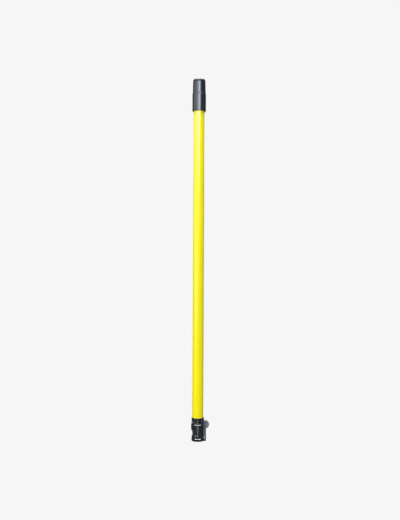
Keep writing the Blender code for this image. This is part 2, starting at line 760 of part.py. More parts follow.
def lever_arm():
    """Wide arm that lies over the housing's back rib, with a rounded end."""
    inner_x = CHANNEL_X + GAP
    top_centre = (LEVER_OUTER_X - LEVER_END_ROUND, LEVER_TOP_Z - LEVER_END_ROUND)
    outline = [(inner_x, LEVER_FOOT_Z), (LEVER_OUTER_X, LEVER_FOOT_Z)]
    outline += arc(top_centre, LEVER_END_ROUND, 0, 90, 5)
    outline += [(inner_x, LEVER_TOP_Z)]
    return prism("cam_lever", outline, "Y", -LEVER_HALF_WIDTH, LEVER_HALF_WIDTH)


def lever_hub():
    """Hub with the eccentric cam, which reaches furthest towards the shoe when the lever is shut."""
    outline = arc((PIVOT_X, PIVOT_Z), HUB_RADIUS, -90, 0, 6)
    root_top = PIVOT_Z + LEVER_ROOT_TOP
    web_x = BACK_RIB_X + GAP * 2
    outline += [(PIVOT_X + HUB_RADIUS, root_top), (web_x, root_top)]
    outline += [(web_x, PIVOT_Z + CAM_RADIUS + CAM_THROW)]
    outline += arc((PIVOT_X - CAM_THROW, PIVOT_Z), CAM_RADIUS, 100, 255, 12)
    half = SLOT_HALF_WIDTH - GAP
    return prism("hub", outline, "Y", -half, half)


def lever_lobe():
    """Round thumb lobe on the outside of the arm."""
    outline = arc((LOBE_X, LOBE_Z), LOBE_RADIUS, -85, 80, 20)
    return prism("lobe", outline, "Y", -LOBE_HALF_WIDTH, LOBE_HALF_WIDTH)


def lobe_recess(name, side):
    """Shallow recess in one side of the lobe, inside its rim."""
    radius = LOBE_RADIUS - LOBE_RIM
    edge_x = LEVER_OUTER_X + LOBE_RIM / 2
    half = math.degrees(math.acos((edge_x - LOBE_X) / radius))
    outline = arc((LOBE_X, LOBE_Z), radius, -half, half, 14)
    near, far = sorted((side * (LOBE_HALF_WIDTH - LOBE_RECESS), side * (LOBE_HALF_WIDTH + LOBE_RECESS)))
    return prism(name, outline, "Y", near, far)


def arm_groove(name, side):
    """Shallow groove along one side of the arm, which leaves a rail on each edge."""
    low_x = BACK_RIB_X + GAP * 2
    near, far = sorted((side * (LEVER_HALF_WIDTH - LEVER_GROOVE_DEPTH), side * (LEVER_HALF_WIDTH + OVERSHOOT)))
    heights = (LEVER_FOOT_Z + LEVER_END_ROUND, LEVER_TOP_Z - LEVER_END_ROUND)
    return box(name, (low_x, low_x + LEVER_GROOVE_WIDTH), (near, far), heights)


def cam_lever():
    """Cast lever: hub, cam, hollow arm and thumb lobe in one piece."""
    made = lever_arm()
    move_origin(made, (PIVOT_X, 0, PIVOT_Z))
    hollow_x = (BACK_RIB_X - BAND_WALL, BACK_RIB_X + GAP)
    hollow_z = (LEVER_FOOT_Z - OVERSHOOT, LEVER_TOP_Z + OVERSHOOT)
    cut(made, box("hollow", hollow_x, (-FLANGE_INNER_Y, FLANGE_INNER_Y), hollow_z))
    join(made, lever_hub(), lever_lobe())
    cut(made, lobe_recess("front_recess", -1), lobe_recess("back_recess", 1))
    cut(made, arm_groove("front_groove", -1), arm_groove("back_groove", 1))
    pivot_hole = circle((PIVOT_X, PIVOT_Z), PIVOT_RADIUS + GAP)
    cut(made, prism("pivot_hole", pivot_hole, "Y", -LUG_OUTER_Y, LUG_OUTER_Y))
    return made, grey_casting()


# Pivot

def washer(name, side):
    """Washer between a lug and the screw's head or nut."""
    near, far = sorted((side * (LUG_OUTER_Y + GAP), side * (LUG_OUTER_Y + GAP + WASHER_THICKNESS)))
    made = prism(name, circle((PIVOT_X, PIVOT_Z), WASHER_RADIUS), "Y", near, far)
    hole = circle((PIVOT_X, PIVOT_Z), PIVOT_RADIUS + GAP)
    cut(made, prism("hole", hole, "Y", near - OVERSHOOT, far + OVERSHOOT))
    return made, bright_steel()


def pivot_screw():
    """Screw through both lugs and the lever, with its head in front."""
    head_seat = LUG_OUTER_Y + GAP + WASHER_THICKNESS + GAP
    end = head_seat + NUT_THICKNESS + SCREW_END_PROUD
    centre = (PIVOT_X, PIVOT_Z)
    made = prism("pivot_screw", circle(centre, PIVOT_RADIUS), "Y", -head_seat - GAP, end)
    head_outline = circle(centre, SCREW_HEAD_RADIUS)
    join(made, prism("head", head_outline, "Y", -head_seat - SCREW_HEAD_THICKNESS, -head_seat))
    return made, bright_steel()


def pivot_nut():
    """Hexagon nut on the back end of the pivot screw."""
    near = LUG_OUTER_Y + GAP + WASHER_THICKNESS + GAP
    centre = (PIVOT_X, PIVOT_Z)
    corner_r = NUT_ACROSS_FLATS / 2 / math.cos(math.radians(30))
    made = prism("pivot_nut", circle(centre, corner_r, 6), "Y", near, near + NUT_THICKNESS)
    hole = circle(centre, PIVOT_RADIUS + GAP)
    cut(made, prism("hole", hole, "Y", near - OVERSHOOT, near + NUT_THICKNESS + OVERSHOOT))
    return made, bright_steel()


# Assembly

def empty(name, location, parent=None):
    made = bpy.data.objects.new(name, None)
    made.location = location
    made.parent = parent
    bpy.context.scene.collection.objects.link(made)
    return made


def place(parent, *pieces):
    """Give each piece its material and hang it on the empty of the body it belongs to."""
    for made, finish in pieces:
        made.data.materials.append(finish)
        made.parent = parent
        if parent.name != "pole":
            made.location = Vector(made.location) - parent.location


def build():
    for old in list(bpy.data.objects):
        bpy.data.objects.remove(old)
    pole = empty("pole", (0, 0, -CAP_TOP))
    slide = empty("inner_slide_axis", (0, 0, 0), pole)
    turning = empty("inner_turn_axis", (0, 0, 0), slide)
    shoe = empty("shoe_slide_axis", (0, 0, 0), pole)

    place(pole, outer_tube(), butt_cap(), butt_plug())
    place(pole, clamp_housing(), wiper_ring(), guide_bush())
    for name, degrees in zip(("housing_rivet_front", "housing_rivet_back"), HOUSING_RIVET_ANGLES):
        place(pole, housing_rivet(name, degrees))
    place(pole, pivot_screw(), pivot_nut(), washer("pivot_washer_front", -1), washer("pivot_washer_back", 1))

    place(pole, cam_lever())
    place(shoe, brake_shoe(), brake_pad())
    place(slide, guide_ring())
    place(turning, inner_tube(), rear_plug(), stop_collar(), tip_ferrule(), tip_insert())
    for end, height in zip(("tip", "rear"), flush_rivet_heights()):
        for side_name, side in (("right", 1), ("left", -1)):
            place(turning, flush_rivet(f"{end}_rivet_{side_name}", height, side))


build()
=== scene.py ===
"""Telescopic pole: the finished surface of every piece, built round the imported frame.

Everything is in metres in the frame's own axes: +Z runs up the pole's axis to the cap, +X points to the
lever and -Y to the clamp's pocketed front. A rise is a height above the clamp housing's lower face.
"""

import json
import math

import bmesh
import bpy
import numpy
from mathutils import Matrix, Vector


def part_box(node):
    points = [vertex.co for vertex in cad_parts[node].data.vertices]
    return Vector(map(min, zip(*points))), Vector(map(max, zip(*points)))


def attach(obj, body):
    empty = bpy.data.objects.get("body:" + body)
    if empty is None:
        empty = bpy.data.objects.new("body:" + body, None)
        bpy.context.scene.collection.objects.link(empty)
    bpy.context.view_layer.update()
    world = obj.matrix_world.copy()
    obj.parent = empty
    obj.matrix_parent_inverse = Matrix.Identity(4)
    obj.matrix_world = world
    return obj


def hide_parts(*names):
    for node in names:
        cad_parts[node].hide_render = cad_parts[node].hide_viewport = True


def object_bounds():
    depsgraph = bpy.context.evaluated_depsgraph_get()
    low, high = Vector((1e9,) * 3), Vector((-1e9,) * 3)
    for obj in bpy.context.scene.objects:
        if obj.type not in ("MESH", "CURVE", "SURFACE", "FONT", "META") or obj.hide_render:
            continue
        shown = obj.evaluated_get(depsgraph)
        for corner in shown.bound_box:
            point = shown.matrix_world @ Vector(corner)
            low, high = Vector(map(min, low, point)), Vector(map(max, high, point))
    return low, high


bl_info = {
    "name": "Telescopic Pole",
    "version": (1, 0, 0),
    "blender": (4, 5, 0),
    "location": "View3D > Sidebar > Pole",
    "description": "Finishes the pieces of a telescopic insulating pole round its frame",
    "category": "Object",
}

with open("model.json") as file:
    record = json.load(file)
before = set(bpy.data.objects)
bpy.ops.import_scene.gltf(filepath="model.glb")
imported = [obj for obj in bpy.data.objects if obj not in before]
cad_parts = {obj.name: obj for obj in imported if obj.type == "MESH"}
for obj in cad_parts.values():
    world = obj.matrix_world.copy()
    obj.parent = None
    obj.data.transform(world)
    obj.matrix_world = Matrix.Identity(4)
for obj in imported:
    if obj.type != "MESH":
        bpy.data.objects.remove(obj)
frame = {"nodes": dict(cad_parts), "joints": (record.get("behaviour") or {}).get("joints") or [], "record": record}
cad_low, cad_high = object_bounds()

# Facets of round pieces
TUBE_STEPS = 160
FINE_STEPS = 96
SMALL_STEPS = 40

# Clearance that the frame keeps between touching pieces
GAP = 0.0003

# How far a cutter reaches past the surface that it cuts
OVERSHOOT = 0.0015

# Faces that meet at less than this angle are shaded smooth
SMOOTH_ANGLE = math.radians(32)

# An edge that turns this much gets the full edge mark: wear on the lever, and wear and a painted sheen on the
# rubber and the moulding
EDGE_WEAR_AND_SHEEN_ANGLE = math.radians(28)

# Share of an edge's mark, wear and painted sheen, that reaches the next vertices
EDGE_WEAR_AND_SHEEN_FADE = 0.75


# What the frame says

def end_radii(node, end):
    """Bore and outside radius of a turned node, read at its lowest (0) or highest (1) face."""
    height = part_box(node)[end].z
    points = [vertex.co for vertex in frame["nodes"][node].data.vertices]
    reach = [math.hypot(point.x, point.y) for point in points if abs(point.z - height) < GAP / 10]
    return min(reach), max(reach)


def heights(node):
    low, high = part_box(node)
    return low.z, high.z


def joint_point(name):
    """A point on a hinge's axis."""
    joint = next(joint for joint in frame["joints"] if joint["name"] == name)
    return Vector(joint["pos_m"])


OUTER_BORE, OUTER_R = end_radii("outer_tube", 0)
INNER_BORE, INNER_R = end_radii("inner_tube", 0)
OUTER_LOW, OUTER_TOP = heights("outer_tube")
INNER_LOW, INNER_TOP = heights("inner_tube")
HOUSING_LOW, HOUSING_TOP = heights("clamp_housing")
CAP_LOW, CAP_TOP = heights("butt_cap")
TIP_Z = cad_low.z
PIVOT = joint_point("lever_pivot")
LEVER_HALF_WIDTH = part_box("cam_lever")[1].y
LEVER_TOP_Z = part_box("cam_lever")[1].z
RIVET_Z = sum(heights("housing_rivet_front")) / 2
SHOE_LOW, SHOE_TOP = heights("brake_shoe")
SHOE_HALF_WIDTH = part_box("brake_shoe")[1].y
WIPER_LOW = heights("wiper_ring")[0]
BUSH_R = end_radii("guide_bush", 1)[1]


# Settings

def length(label, text, default):
    """A length that a user can set in the sidebar."""
    return bpy.props.FloatProperty(name=label, description=text, default=default, unit="LENGTH", precision=5)


def colour(label, text, default):
    """A colour that a user can set in the sidebar."""
    return bpy.props.FloatVectorProperty(
        name=label, description=text, default=default, size=3, min=0, max=1, subtype="COLOR")


class TubeSettings(bpy.types.PropertyGroup):
    edge_round: length("Edge round", "Radius of the tubes' cut ends", 0.0004)
    rivet_hole_radius: length("Rivet hole", "Radius of the holes for the flush rivets", 0.0019)


class CapSettings(bpy.types.PropertyGroup):
    skirt_length: length("Skirt length", "Plain part of the cap below its step", 0.0622)
    skirt_wall: length("Skirt wall", "Rubber outside the tube on the skirt", 0.0049)
    taper_low_wall: length("Taper wall below", "Rubber outside the tube just above the step", 0.0038)
    taper_high_wall: length("Taper wall above", "Rubber outside the tube at the rim", 0.0029)
    step_height: length("Step height", "Height of the sloping step", 0.0028)
    groove_drop: length("Groove drop", "Distance from the end face to the foot of the groove", 0.0102)
    groove_width: length("Groove width", "Width of the groove round the rim", 0.0033)
    groove_depth: length("Groove depth", "Depth of the groove round the rim", 0.0006)
    end_wall: length("End wall", "Rubber over the tube's end", 0.0051)
    end_round: length("End round", "Radius of the rounded end", 0.0063)
    end_crown: length("End crown", "How far the end face rises to its middle", 0.0007)
    edge_round: length("Edge round", "Radius of the skirt's lower edge", 0.0014)


class HousingSettings(bpy.types.PropertyGroup):
    chamfer: length("Chamfer", "Size of the housing's chamfers", 0.0012)
    ring_wall: length("Ring wall", "Wall of the lower ring outside the inner tube", 0.0070)
    ring_high_wall: length("Ring shoulder wall", "Wall at the top of the ring's shoulder", 0.0055)
    ring_recess_wall: length("Ring recess wall", "Wall left behind the ring's recess", 0.0046)
    top_rise: length("Top rise", "How far the collar's lip covers the tube above the frame's", 0.0025)
    ledge_rise: length("Ledge rise", "Height of the ring's ledge", 0.0100)
    ledge_slope: length("Ledge slope", "How far the ring's ledge falls outwards", 0.0020)
    recess_rise: length("Recess rise", "Height where the ring's recess starts to lean in", 0.0160)
    ring_top: length("Ring top", "Height of the ring's shoulder", 0.0196)
    waist_wall: length("Waist wall", "Wall at the waist's narrowest", 0.0034)
    waist_rise: length("Waist rise", "Height of the waist's narrowest part", 0.0228)
    waist_top_wall: length("Waist top wall", "Wall where the waist meets the band", 0.0054)
    band_wall: length("Band wall", "Wall of the band outside the outer tube", 0.0040)
    band_rise: length("Band rise", "Height of the band's foot", 0.0388)
    band_top: length("Band top", "Height of the band's top", 0.0583)
    collar_step: length("Collar step", "Height of the slope between band and collar", 0.0018)
    collar_low_wall: length("Collar wall below", "Wall at the foot of the collar", 0.0027)
    collar_high_wall: length("Collar wall above", "Wall of the collar's plain band", 0.0020)
    collar_band: length("Collar band", "Height of the plain band at the upper end", 0.0049)
    lip_wall: length("Lip wall", "Wall at the very end of the collar", 0.0017)
    panel_step: length("Panel step", "Height of the slope at the foot of the scooped panels", 0.0018)
    panel_foot_wall: length("Panel foot wall", "Wall at the foot of the scooped panels", 0.0022)
    panel_wall: length("Panel wall", "Wall at the top of the scooped panels", 0.00095)
    pocket_half_width: length("Pocket half width", "Half the width of the pair of pockets", 0.0125)
    pocket_floor_wall: length("Pocket wall", "Wall left behind the pockets, outside the tube", 0.0021)
    pocket_roof: length("Pocket roof", "Material left between pocket and band top", 0.0016)
    rib_half_width: length("Rib half width", "Half the width of the middle ribs", 0.0020)
    side_rib_width: length("Side rib width", "Width of the outer ribs", 0.0022)
    rib_top_drop: length("Rib top drop", "Distance from the upper end to the ribs' tops", 0.0080)
    rib_top_slope: length("Rib top slope", "Height of the slope at the ribs' tops", 0.0034)
    rib_foot_rise: length("Rib foot rise", "Height of the lower rib's foot", 0.0130)
    rib_foot_wall: length("Rib foot wall", "Reach of the lower rib at its foot", 0.0056)
    boss_half_width: length("Boss half width", "Half the width of the oval boss", 0.0064)
    boss_half_height: length("Boss half height", "Half the height of the oval boss", 0.0084)
    boss_rise: length("Boss rise", "Height of the boss's centre", 0.0420)
    boss_drop: length("Boss drop", "How far the boss stays behind the band", 0.0010)
    boss_hole_radius: length("Boss hole radius", "Radius of the blind hole in the boss", 0.0024)
    boss_hole_depth: length("Boss hole depth", "Depth of the blind hole in the boss", 0.0030)
    lever_rib: length("Lever rib", "Wall of the rib behind the lever", 0.0022)
    lever_channel: length("Lever channel", "Wall behind the lever's flanges", 0.00124)
    lug_radius: length("Lug radius", "Radius of the lugs round the pivot", 0.0058)
    lug_thickness: length("Lug thickness", "Thickness of each lug", 0.0032)
    lug_toe: length("Lug toe", "How far the lugs' feet reach beyond the pivot", 0.0043)
    soft_edge: length("Soft edge", "Width over which moulded steps turn", 0.0006)


class LeverSettings(bpy.types.PropertyGroup):
    flange: length("Flange", "Thickness of the arm's two flanges", 0.0018)
    depth: length("Depth", "Reach of the arm's outer face beyond the pivot", 0.0053)
    end_drop: length("End drop", "How far the arm ends below the frame's", 0.0028)
    end_round: length("End round", "Radius of the arm's far end", 0.0030)
    foot_radius: length("Foot radius", "Height of the arm's foot above the pivot", 0.0063)
    root_top: length("Root top", "Height of the web between hub and arm", 0.0165)
    hub_radius: length("Hub radius", "Radius of the hub", 0.0046)
    cam_radius: length("Cam radius", "Radius of the eccentric cam", 0.0040)
    cam_throw: length("Cam throw", "Offset of the cam's centre", 0.0012)
    groove_width: length("Groove width", "Width of the groove in the arm's sides", 0.0024)
    groove_depth: length("Groove depth", "Depth of the groove in the arm's sides", 0.0008)
    lobe_rise: length("Lobe rise", "Height of the lobe's centre above the pivot", 0.0472)
    lobe_offset: length("Lobe offset", "Distance of the lobe's centre outside the pivot", 0.0023)
    lobe_radius: length("Lobe radius", "Radius over the lobe's serrations", 0.0142)
    lobe_half_width: length("Lobe half width", "Half the width of the thumb lobe", 0.0080)
    lobe_rim: length("Lobe rim", "Width of the rim round the lobe's recess", 0.0030)
    lobe_recess: length("Lobe recess", "Depth of the recess in the lobe's sides", 0.0015)
    tooth_height: length("Tooth height", "Height of the thumb serrations", 0.0006)
    tooth_radius: length("Tooth radius", "Radius of each serration", 0.0008)
    tooth_pitch: length("Tooth pitch", "Distance between the thumb serrations", 0.0026)
    skin: length("Skin", "Grain of the cast skin's mesh", 0.00032)


class PivotSettings(bpy.types.PropertyGroup):
    screw_radius: length("Screw radius", "Radius of the pivot screw's shank", 0.0020)
    head_radius: length("Head radius", "Radius of the pivot screw's head", 0.0034)
    head_thickness: length("Head thickness", "Thickness of the pivot screw's head", 0.0018)
    socket_across: length("Socket width", "Width across flats of the screw's socket", 0.0030)
    socket_depth: length("Socket depth", "Depth of the screw's socket", 0.0011)
    washer_radius: length("Washer radius", "Radius of the washers", 0.0038)
    washer_thickness: length("Washer thickness", "Thickness of the washers", 0.0008)
    washer_edge: length("Washer edge", "Radius of the washers' soft edges", 0.00018)
    nut_across: length("Nut width", "Width across flats of the nut", 0.0070)
    nut_thickness: length("Nut thickness", "Thickness of the nut", 0.0028)
    end_proud: length("Screw end", "How far the screw's end stands out of the nut", 0.0006)
    edge_round: length("Edge round", "Radius of the screw's soft edges", 0.0004)


class RivetSettings(bpy.types.PropertyGroup):
    head_radius: length("Head radius", "Radius of the housing rivets' heads", 0.0031)
    head_height: length("Head height", "Height of the housing rivets' heads", 0.0013)
    head_edge: length("Head edge", "Upright edge of the housing rivets' heads", 0.0004)
    shank_radius: length("Shank radius", "Radius of the housing rivets' shanks", 0.0020)
    hole_radius: length("Hole radius", "Radius of the housing's rivet holes", 0.0023)
    flush_radius: length("Flush rivet radius", "Radius of the flush rivets", 0.0016)
    flush_length: length("Flush rivet length", "Length of the flush rivets", 0.0045)
    direction: bpy.props.FloatProperty(
        name="Direction", description="Direction of the housing rivets from the lever",
        default=math.radians(148), unit="ROTATION")


class TipSettings(bpy.types.PropertyGroup):
    ferrule_chamfer: length("Ferrule chamfer", "Chamfer round the tool end", 0.0016)
    ferrule_spigot: length("Ferrule spigot", "Length of the ferrule's spigot in the tube", 0.0300)
    thread_depth: length("Thread depth", "Depth of the insert's thread", 0.0009)
    thread_pitch: length("Thread pitch", "Pitch of the insert's thread", 0.00175)
    lead_in: length("Lead-in", "Chamfer at the mouth of the thread", 0.0009)
    edge_round: length("Edge round", "Radius of the ferrule's soft edges", 0.0006)


class ColourSettings(bpy.types.PropertyGroup):
    laminate: colour("Laminate", "Pigment of the tubes", (0.94, 0.80, 0.002))
    laminate_deep: colour("Laminate, deep", "Pigment between the fibres", (0.88, 0.72, 0.002))
    rubber: colour("Rubber", "End cap and brake pad", (0.016, 0.017, 0.021))
    moulding: colour("Moulding", "Clamp housing, plugs and ferrule", (0.010, 0.010, 0.012))
    casting: colour("Casting", "Coating of the lever", (0.085, 0.089, 0.096))
    bare_metal: colour("Bare metal", "Metal under the lever's coating", (0.50, 0.50, 0.51))
    steel: colour("Steel", "Screw, nut, washers and rivets", (0.62, 0.62, 0.63))
    brass: colour("Brass", "Threaded insert", (0.72, 0.52, 0.18))
    nylon: colour("Nylon", "Bush, ring, collar and brake shoe", (0.70, 0.68, 0.61))
    felt: colour("Felt", "Wiper ring", (0.09, 0.09, 0.09))


class StageSettings(bpy.types.PropertyGroup):
    distance: length("Camera distance", "Distance from the camera to the pole's axis", 2.583)
    eye_height: length("Eye height", "Height of the camera in the frame", -0.6465)
    eye_shift: length("Eye shift", "How far right of the axis the camera stands", 0.0055)
    lens: bpy.props.FloatProperty(name="Lens", description="Focal length in millimetres", default=50.0)
    roll: bpy.props.FloatProperty(
        name="Roll", description="Roll of the camera", default=math.radians(0.27), unit="ROTATION")
    backdrop: colour("Backdrop", "Tone of floor and backdrop", (0.922, 0.922, 0.922))
    floor_size: length("Floor size", "Side of the square floor", 8.0)
    floor_drop: length("Floor drop", "Distance from the closed pole's lower end to the floor", 1.2)


# Node trees written down one node at a time

class Value:
    """A node's output with Python's arithmetic, where each operation adds a Math node."""

    def __init__(self, recipe, socket):
        self.recipe = recipe
        self.socket = socket

    def math(self, operation, first, second=0.0):
        return self.recipe.node("ShaderNodeMath", {"operation": operation}, {0: first, 1: second})

    def __add__(self, other):
        return self.math("ADD", self, other)

    def __radd__(self, other):
        return self.math("ADD", other, self)

    def __sub__(self, other):
        return self.math("SUBTRACT", self, other)

    def __rsub__(self, other):
        return self.math("SUBTRACT", other, self)

    def __mul__(self, other):
        return self.math("MULTIPLY", self, other)

    def __rmul__(self, other):
        return self.math("MULTIPLY", other, self)

    def __truediv__(self, other):
        return self.math("DIVIDE", self, other)

    def __gt__(self, other):
        return self.math("GREATER_THAN", self, other)

    def sine(self):
        return self.math("SINE", self)

    def root(self):
        return self.math("SQRT", self)

    def at_least(self, other):
        return self.math("MAXIMUM", self, other)

    def between(self, low, high):
        """0 below low, 1 above high and a smooth ramp between."""
        sockets = {"Value": self, "From Min": low, "From Max": high}
        return self.recipe.node("ShaderNodeMapRange", {"interpolation_type": "SMOOTHSTEP"}, sockets)

    def other(self, name):
        """Another output of the same node."""
        return Value(self.recipe, self.socket.node.outputs[name])


class Recipe:
    """A node tree and the one method that adds a node to it."""

    def __init__(self, tree):
        self.tree = tree

    def node(self, kind, settings=None, sockets=None, output=0):
        made = self.tree.nodes.new(kind)
        for name, value in (settings or {}).items():
            setattr(made, name, value)
        for name, value in (sockets or {}).items():
            self.feed(made, name, value)
        return Value(self, made.outputs[output])

    def feed(self, made, name, value):
        if isinstance(name, int):
            socket = made.inputs[name]
        else:
            socket = next(each for each in made.inputs if each.name == name and each.enabled)
        for each in value if isinstance(value, list) else [value]:
            if isinstance(each, Value):
                self.tree.links.new(each.socket, socket)
            elif socket.type == "RGBA":
                socket.default_value = (*each, 1.0)
            else:
                socket.default_value = each


# Finishes

class Finish(Recipe):
    """A material's shader and the textures that the finishes share."""

    def __init__(self, name, constants):
        self.material = bpy.data.materials.new(name)
        self.material.use_nodes = True
        super().__init__(self.material.node_tree)
        self.shader = self.tree.nodes["Principled BSDF"]
        for socket, value in constants.items():
            self.feed(self.shader, socket, value)
        self.point = self.node("ShaderNodeTexCoord").other("Object")
        self.normal = None

    def noise(self, scale, detail=2.0, stretch=(1, 1, 1), roughness=0.5):
        """Noise whose grain is 1/scale metres across, drawn out along the axes where stretch is small."""
        place = self.node("ShaderNodeMapping", {}, {"Vector": self.point, "Scale": stretch})
        sockets = {"Vector": place, "Scale": scale, "Detail": detail, "Roughness": roughness}
        return self.node("ShaderNodeTexNoise", {}, sockets)

    def blend(self, factor, first, second):
        sockets = {"Factor": factor, "A": first, "B": second}
        return self.node("ShaderNodeMix", {"data_type": "RGBA"}, sockets, output=2)

    def bump(self, height, distance, strength):
        sockets = {"Height": height, "Distance": distance, "Strength": strength}
        if self.normal is not None:
            sockets["Normal"] = self.normal
        self.normal = self.node("ShaderNodeBump", {}, sockets)

    def edge(self):
        """How sharply the surface turns outwards, 0 to 1."""
        return self.node("ShaderNodeAttribute", {"attribute_name": "edge"}).other("Fac")

    def done(self, sockets):
        for name, value in sockets.items():
            self.feed(self.shader, name, value)
        self.feed(self.shader, "Normal", self.normal)
        return self.material


def toned(colour, factor):
    """A lighter or darker tone of a colour."""
    return tuple(part * factor for part in colour)


# Threads of the laminate's outer wrap round the tube
WRAP_THREADS = 26


def laminate_finish(name, colours):
    """Pigmented glass laminate: fibres along the tube, a faint crossed wrap, clear gloss and light scuffs."""
    made = Finish(name, {"Coat Roughness": 0.16, "IOR": 1.48})
    place = made.node("ShaderNodeSeparateXYZ", {}, {"Vector": made.point})
    angle = place.math("ARCTAN2", place.other("Y"), place.other("X"))
    turns = angle * WRAP_THREADS
    climb = place.other("Z") * (WRAP_THREADS / OUTER_R)
    wrap = (turns + climb).sine() * (turns - climb).sine()
    fibres = made.noise(700, 3.0, (1, 1, 0.012))
    cloud = made.noise(9, 2.0, (1, 1, 0.35))
    scratches = made.noise(420, 2.0, (1, 1, 0.03)).between(0.66, 0.76) * made.noise(30).between(0.45, 0.65)
    depth = fibres * 0.55 + cloud * 0.35 + wrap * 0.025
    tone = made.blend(depth.between(0.30, 0.62), colours.laminate_deep, colours.laminate)
    made.bump(fibres, 0.000012, 0.6)
    made.bump(scratches, 0.00002, 0.4)
    return made.done({
        "Base Color": tone,
        "Roughness": 0.26 + cloud * 0.05 + scratches * 0.2,
        "Coat Weight": 0.55 - scratches * 0.30,
    })


def rubber_finish(name, colours):
    """Moulded rubber: fine matt grain, edges painted a little paler as partly rubbed wear and partly a painted
    sheen, and a little pale dust.
    """
    made = Finish(name, {"IOR": 1.62})
    grain = made.noise(2600, 3.0)
    patches = made.noise(70, 3.0)
    dust = made.noise(240, 4.0).between(0.58, 0.80) * patches.between(0.45, 0.70)
    # Pale dust, and the edges painted a little paler, partly as rubbed wear and partly as a painted sheen.
    tone = made.blend(dust * 0.10 + made.edge() * 0.05, colours.rubber, (0.16, 0.16, 0.17))
    made.bump(grain, 0.00003, 0.35)
    made.bump(patches, 0.0001, 0.05)
    return made.done({"Base Color": tone, "Roughness": 0.25 + patches * 0.08 + dust * 0.12})


# Ramps of the painted highlight down the middle of each pocketed side: outwards, sideways and up the housing
RIB_HIGHLIGHT_OUTWARDS = OUTER_R, OUTER_R + 0.0018
RIB_HIGHLIGHT_SIDEWAYS = 0.0018, 0.0028
RIB_HIGHLIGHT_FOOT = HOUSING_LOW + 0.0105, HOUSING_LOW + 0.0130
RIB_HIGHLIGHT_TOP = HOUSING_LOW + 0.0640, HOUSING_LOW + 0.0700


def moulding_finish(name, colours):
    """Glass-filled black plastic: fine texture, flow marks, a painted highlight down the middle of each pocketed
    side, and edges painted paler, partly as wear and partly as a painted sheen.
    """
    made = Finish(name, {"IOR": 1.6})
    edge = made.edge()
    place = made.node("ShaderNodeSeparateXYZ", {}, {"Vector": made.point})
    across, front = place.math("ABSOLUTE", place.other("X")), place.math("ABSOLUTE", place.other("Y"))
    height = place.other("Z")
    # Painted highlight: the middle of each pocketed side, from the ring up towards the collar, is painted paler as
    # if it caught the light.
    painted_rib_highlight = front.between(*RIB_HIGHLIGHT_OUTWARDS) * (1 - across.between(*RIB_HIGHLIGHT_SIDEWAYS))
    painted_rib_highlight *= height.between(*RIB_HIGHLIGHT_FOOT) * (1 - height.between(*RIB_HIGHLIGHT_TOP))
    grain = made.noise(3200)
    flow = made.noise(70, 3.0, (1, 1, 0.4), 0.6)
    rubbed = made.noise(500, 3.0, (1, 1, 0.2)).between(0.60, 0.78)
    # Paleness: the painted highlight on the middle ribs, the edges painted paler as partly wear and partly a
    # painted sheen, and real rub streaks.
    worn = painted_rib_highlight * (edge * 0.1 + 0.4) * (0.5 + flow) + edge * flow * 0.3 + rubbed * 0.04
    tone = made.blend(worn, colours.moulding, (0.26, 0.265, 0.27))
    made.bump(grain, 0.00003, 0.30)
    made.bump(flow, 0.00015, 0.06)
    rough = 0.17 + flow * 0.08 + grain * 0.05
    return made.done({"Base Color": tone, "Roughness": rough})


# How far from the middle of the thumb lobe the coating is rubbed paler
THUMB_REACH = 0.012


def casting_finish(name, colours):
    """Dark coating on cast metal: orange-peel ripple, bare metal on worn edges, paler where thumbs rub it."""
    made = Finish(name, {"IOR": 1.5})
    ripple = made.noise(900)
    pores = made.noise(2400).between(0.62, 0.74)
    patches = made.noise(160, 4.0)
    worn = (made.edge() * 0.8 + patches * 0.9 - 0.35).between(0.70, 1.05)
    centre_x, centre_z = lobe_centre(bpy.context.scene.pole_lever)
    thumb_spot = made.node("ShaderNodeVectorMath", {"operation": "DISTANCE"}, {
        0: made.point, 1: (centre_x + THUMB_REACH * 0.7, 0, centre_z)}, output=1)
    rubbed = (patches * 0.5 + 0.75) * (1 - thumb_spot.between(THUMB_REACH * 0.7, THUMB_REACH * 1.3))
    coat = made.blend(rubbed, colours.casting, toned(colours.casting, 2.3))
    tone = made.blend(worn, coat, colours.bare_metal)
    made.bump(ripple, 0.00005, 0.30)
    made.bump(1 - pores, 0.00003, 0.25)
    return made.done({
        "Base Color": tone,
        "Roughness": 0.34 + patches * 0.10 + worn * 0.04,
        "Metallic": worn * 0.9 + 0.05,
    })


def steel_finish(name, colours):
    """Plated steel: fine drawn lines and a slightly uneven sheen."""
    made = Finish(name, {"Metallic": 1.0})
    lines = made.noise(1800, 2.0, (1, 0.08, 1))
    cloud = made.noise(260, 3.0)
    tone = made.blend(cloud.between(0.35, 0.75), colours.steel, toned(colours.steel, 0.82))
    made.bump(lines, 0.00001, 0.4)
    return made.done({"Base Color": tone, "Roughness": 0.26 + cloud * 0.14})


def brass_finish(name, colours):
    """Turned brass: tool marks round the axis and a little tarnish."""
    made = Finish(name, {"Metallic": 1.0})
    rings = made.noise(2600, 2.0, (0.05, 0.05, 1))
    tarnish = made.noise(300, 4.0)
    tone = made.blend(tarnish.between(0.45, 0.80), colours.brass, toned(colours.brass, 0.55))
    made.bump(rings, 0.00001, 0.4)
    return made.done({"Base Color": tone, "Roughness": 0.22 + tarnish * 0.18})


def nylon_finish(name, colours):
    """Machined nylon: waxy and pale, with turning marks and grey rub marks."""
    made = Finish(name, {"Subsurface Weight": 0.15, "Subsurface Scale": 0.002, "IOR": 1.53})
    rings = made.noise(1500, 2.0, (0.04, 0.04, 1))
    rub = made.noise(180, 4.0, (1, 1, 0.3)).between(0.55, 0.80)
    tone = made.blend(rub * 0.30, colours.nylon, (0.30, 0.29, 0.27))
    made.bump(rings, 0.00002, 0.35)
    return made.done({"Base Color": tone, "Roughness": 0.42 + rub * 0.12})


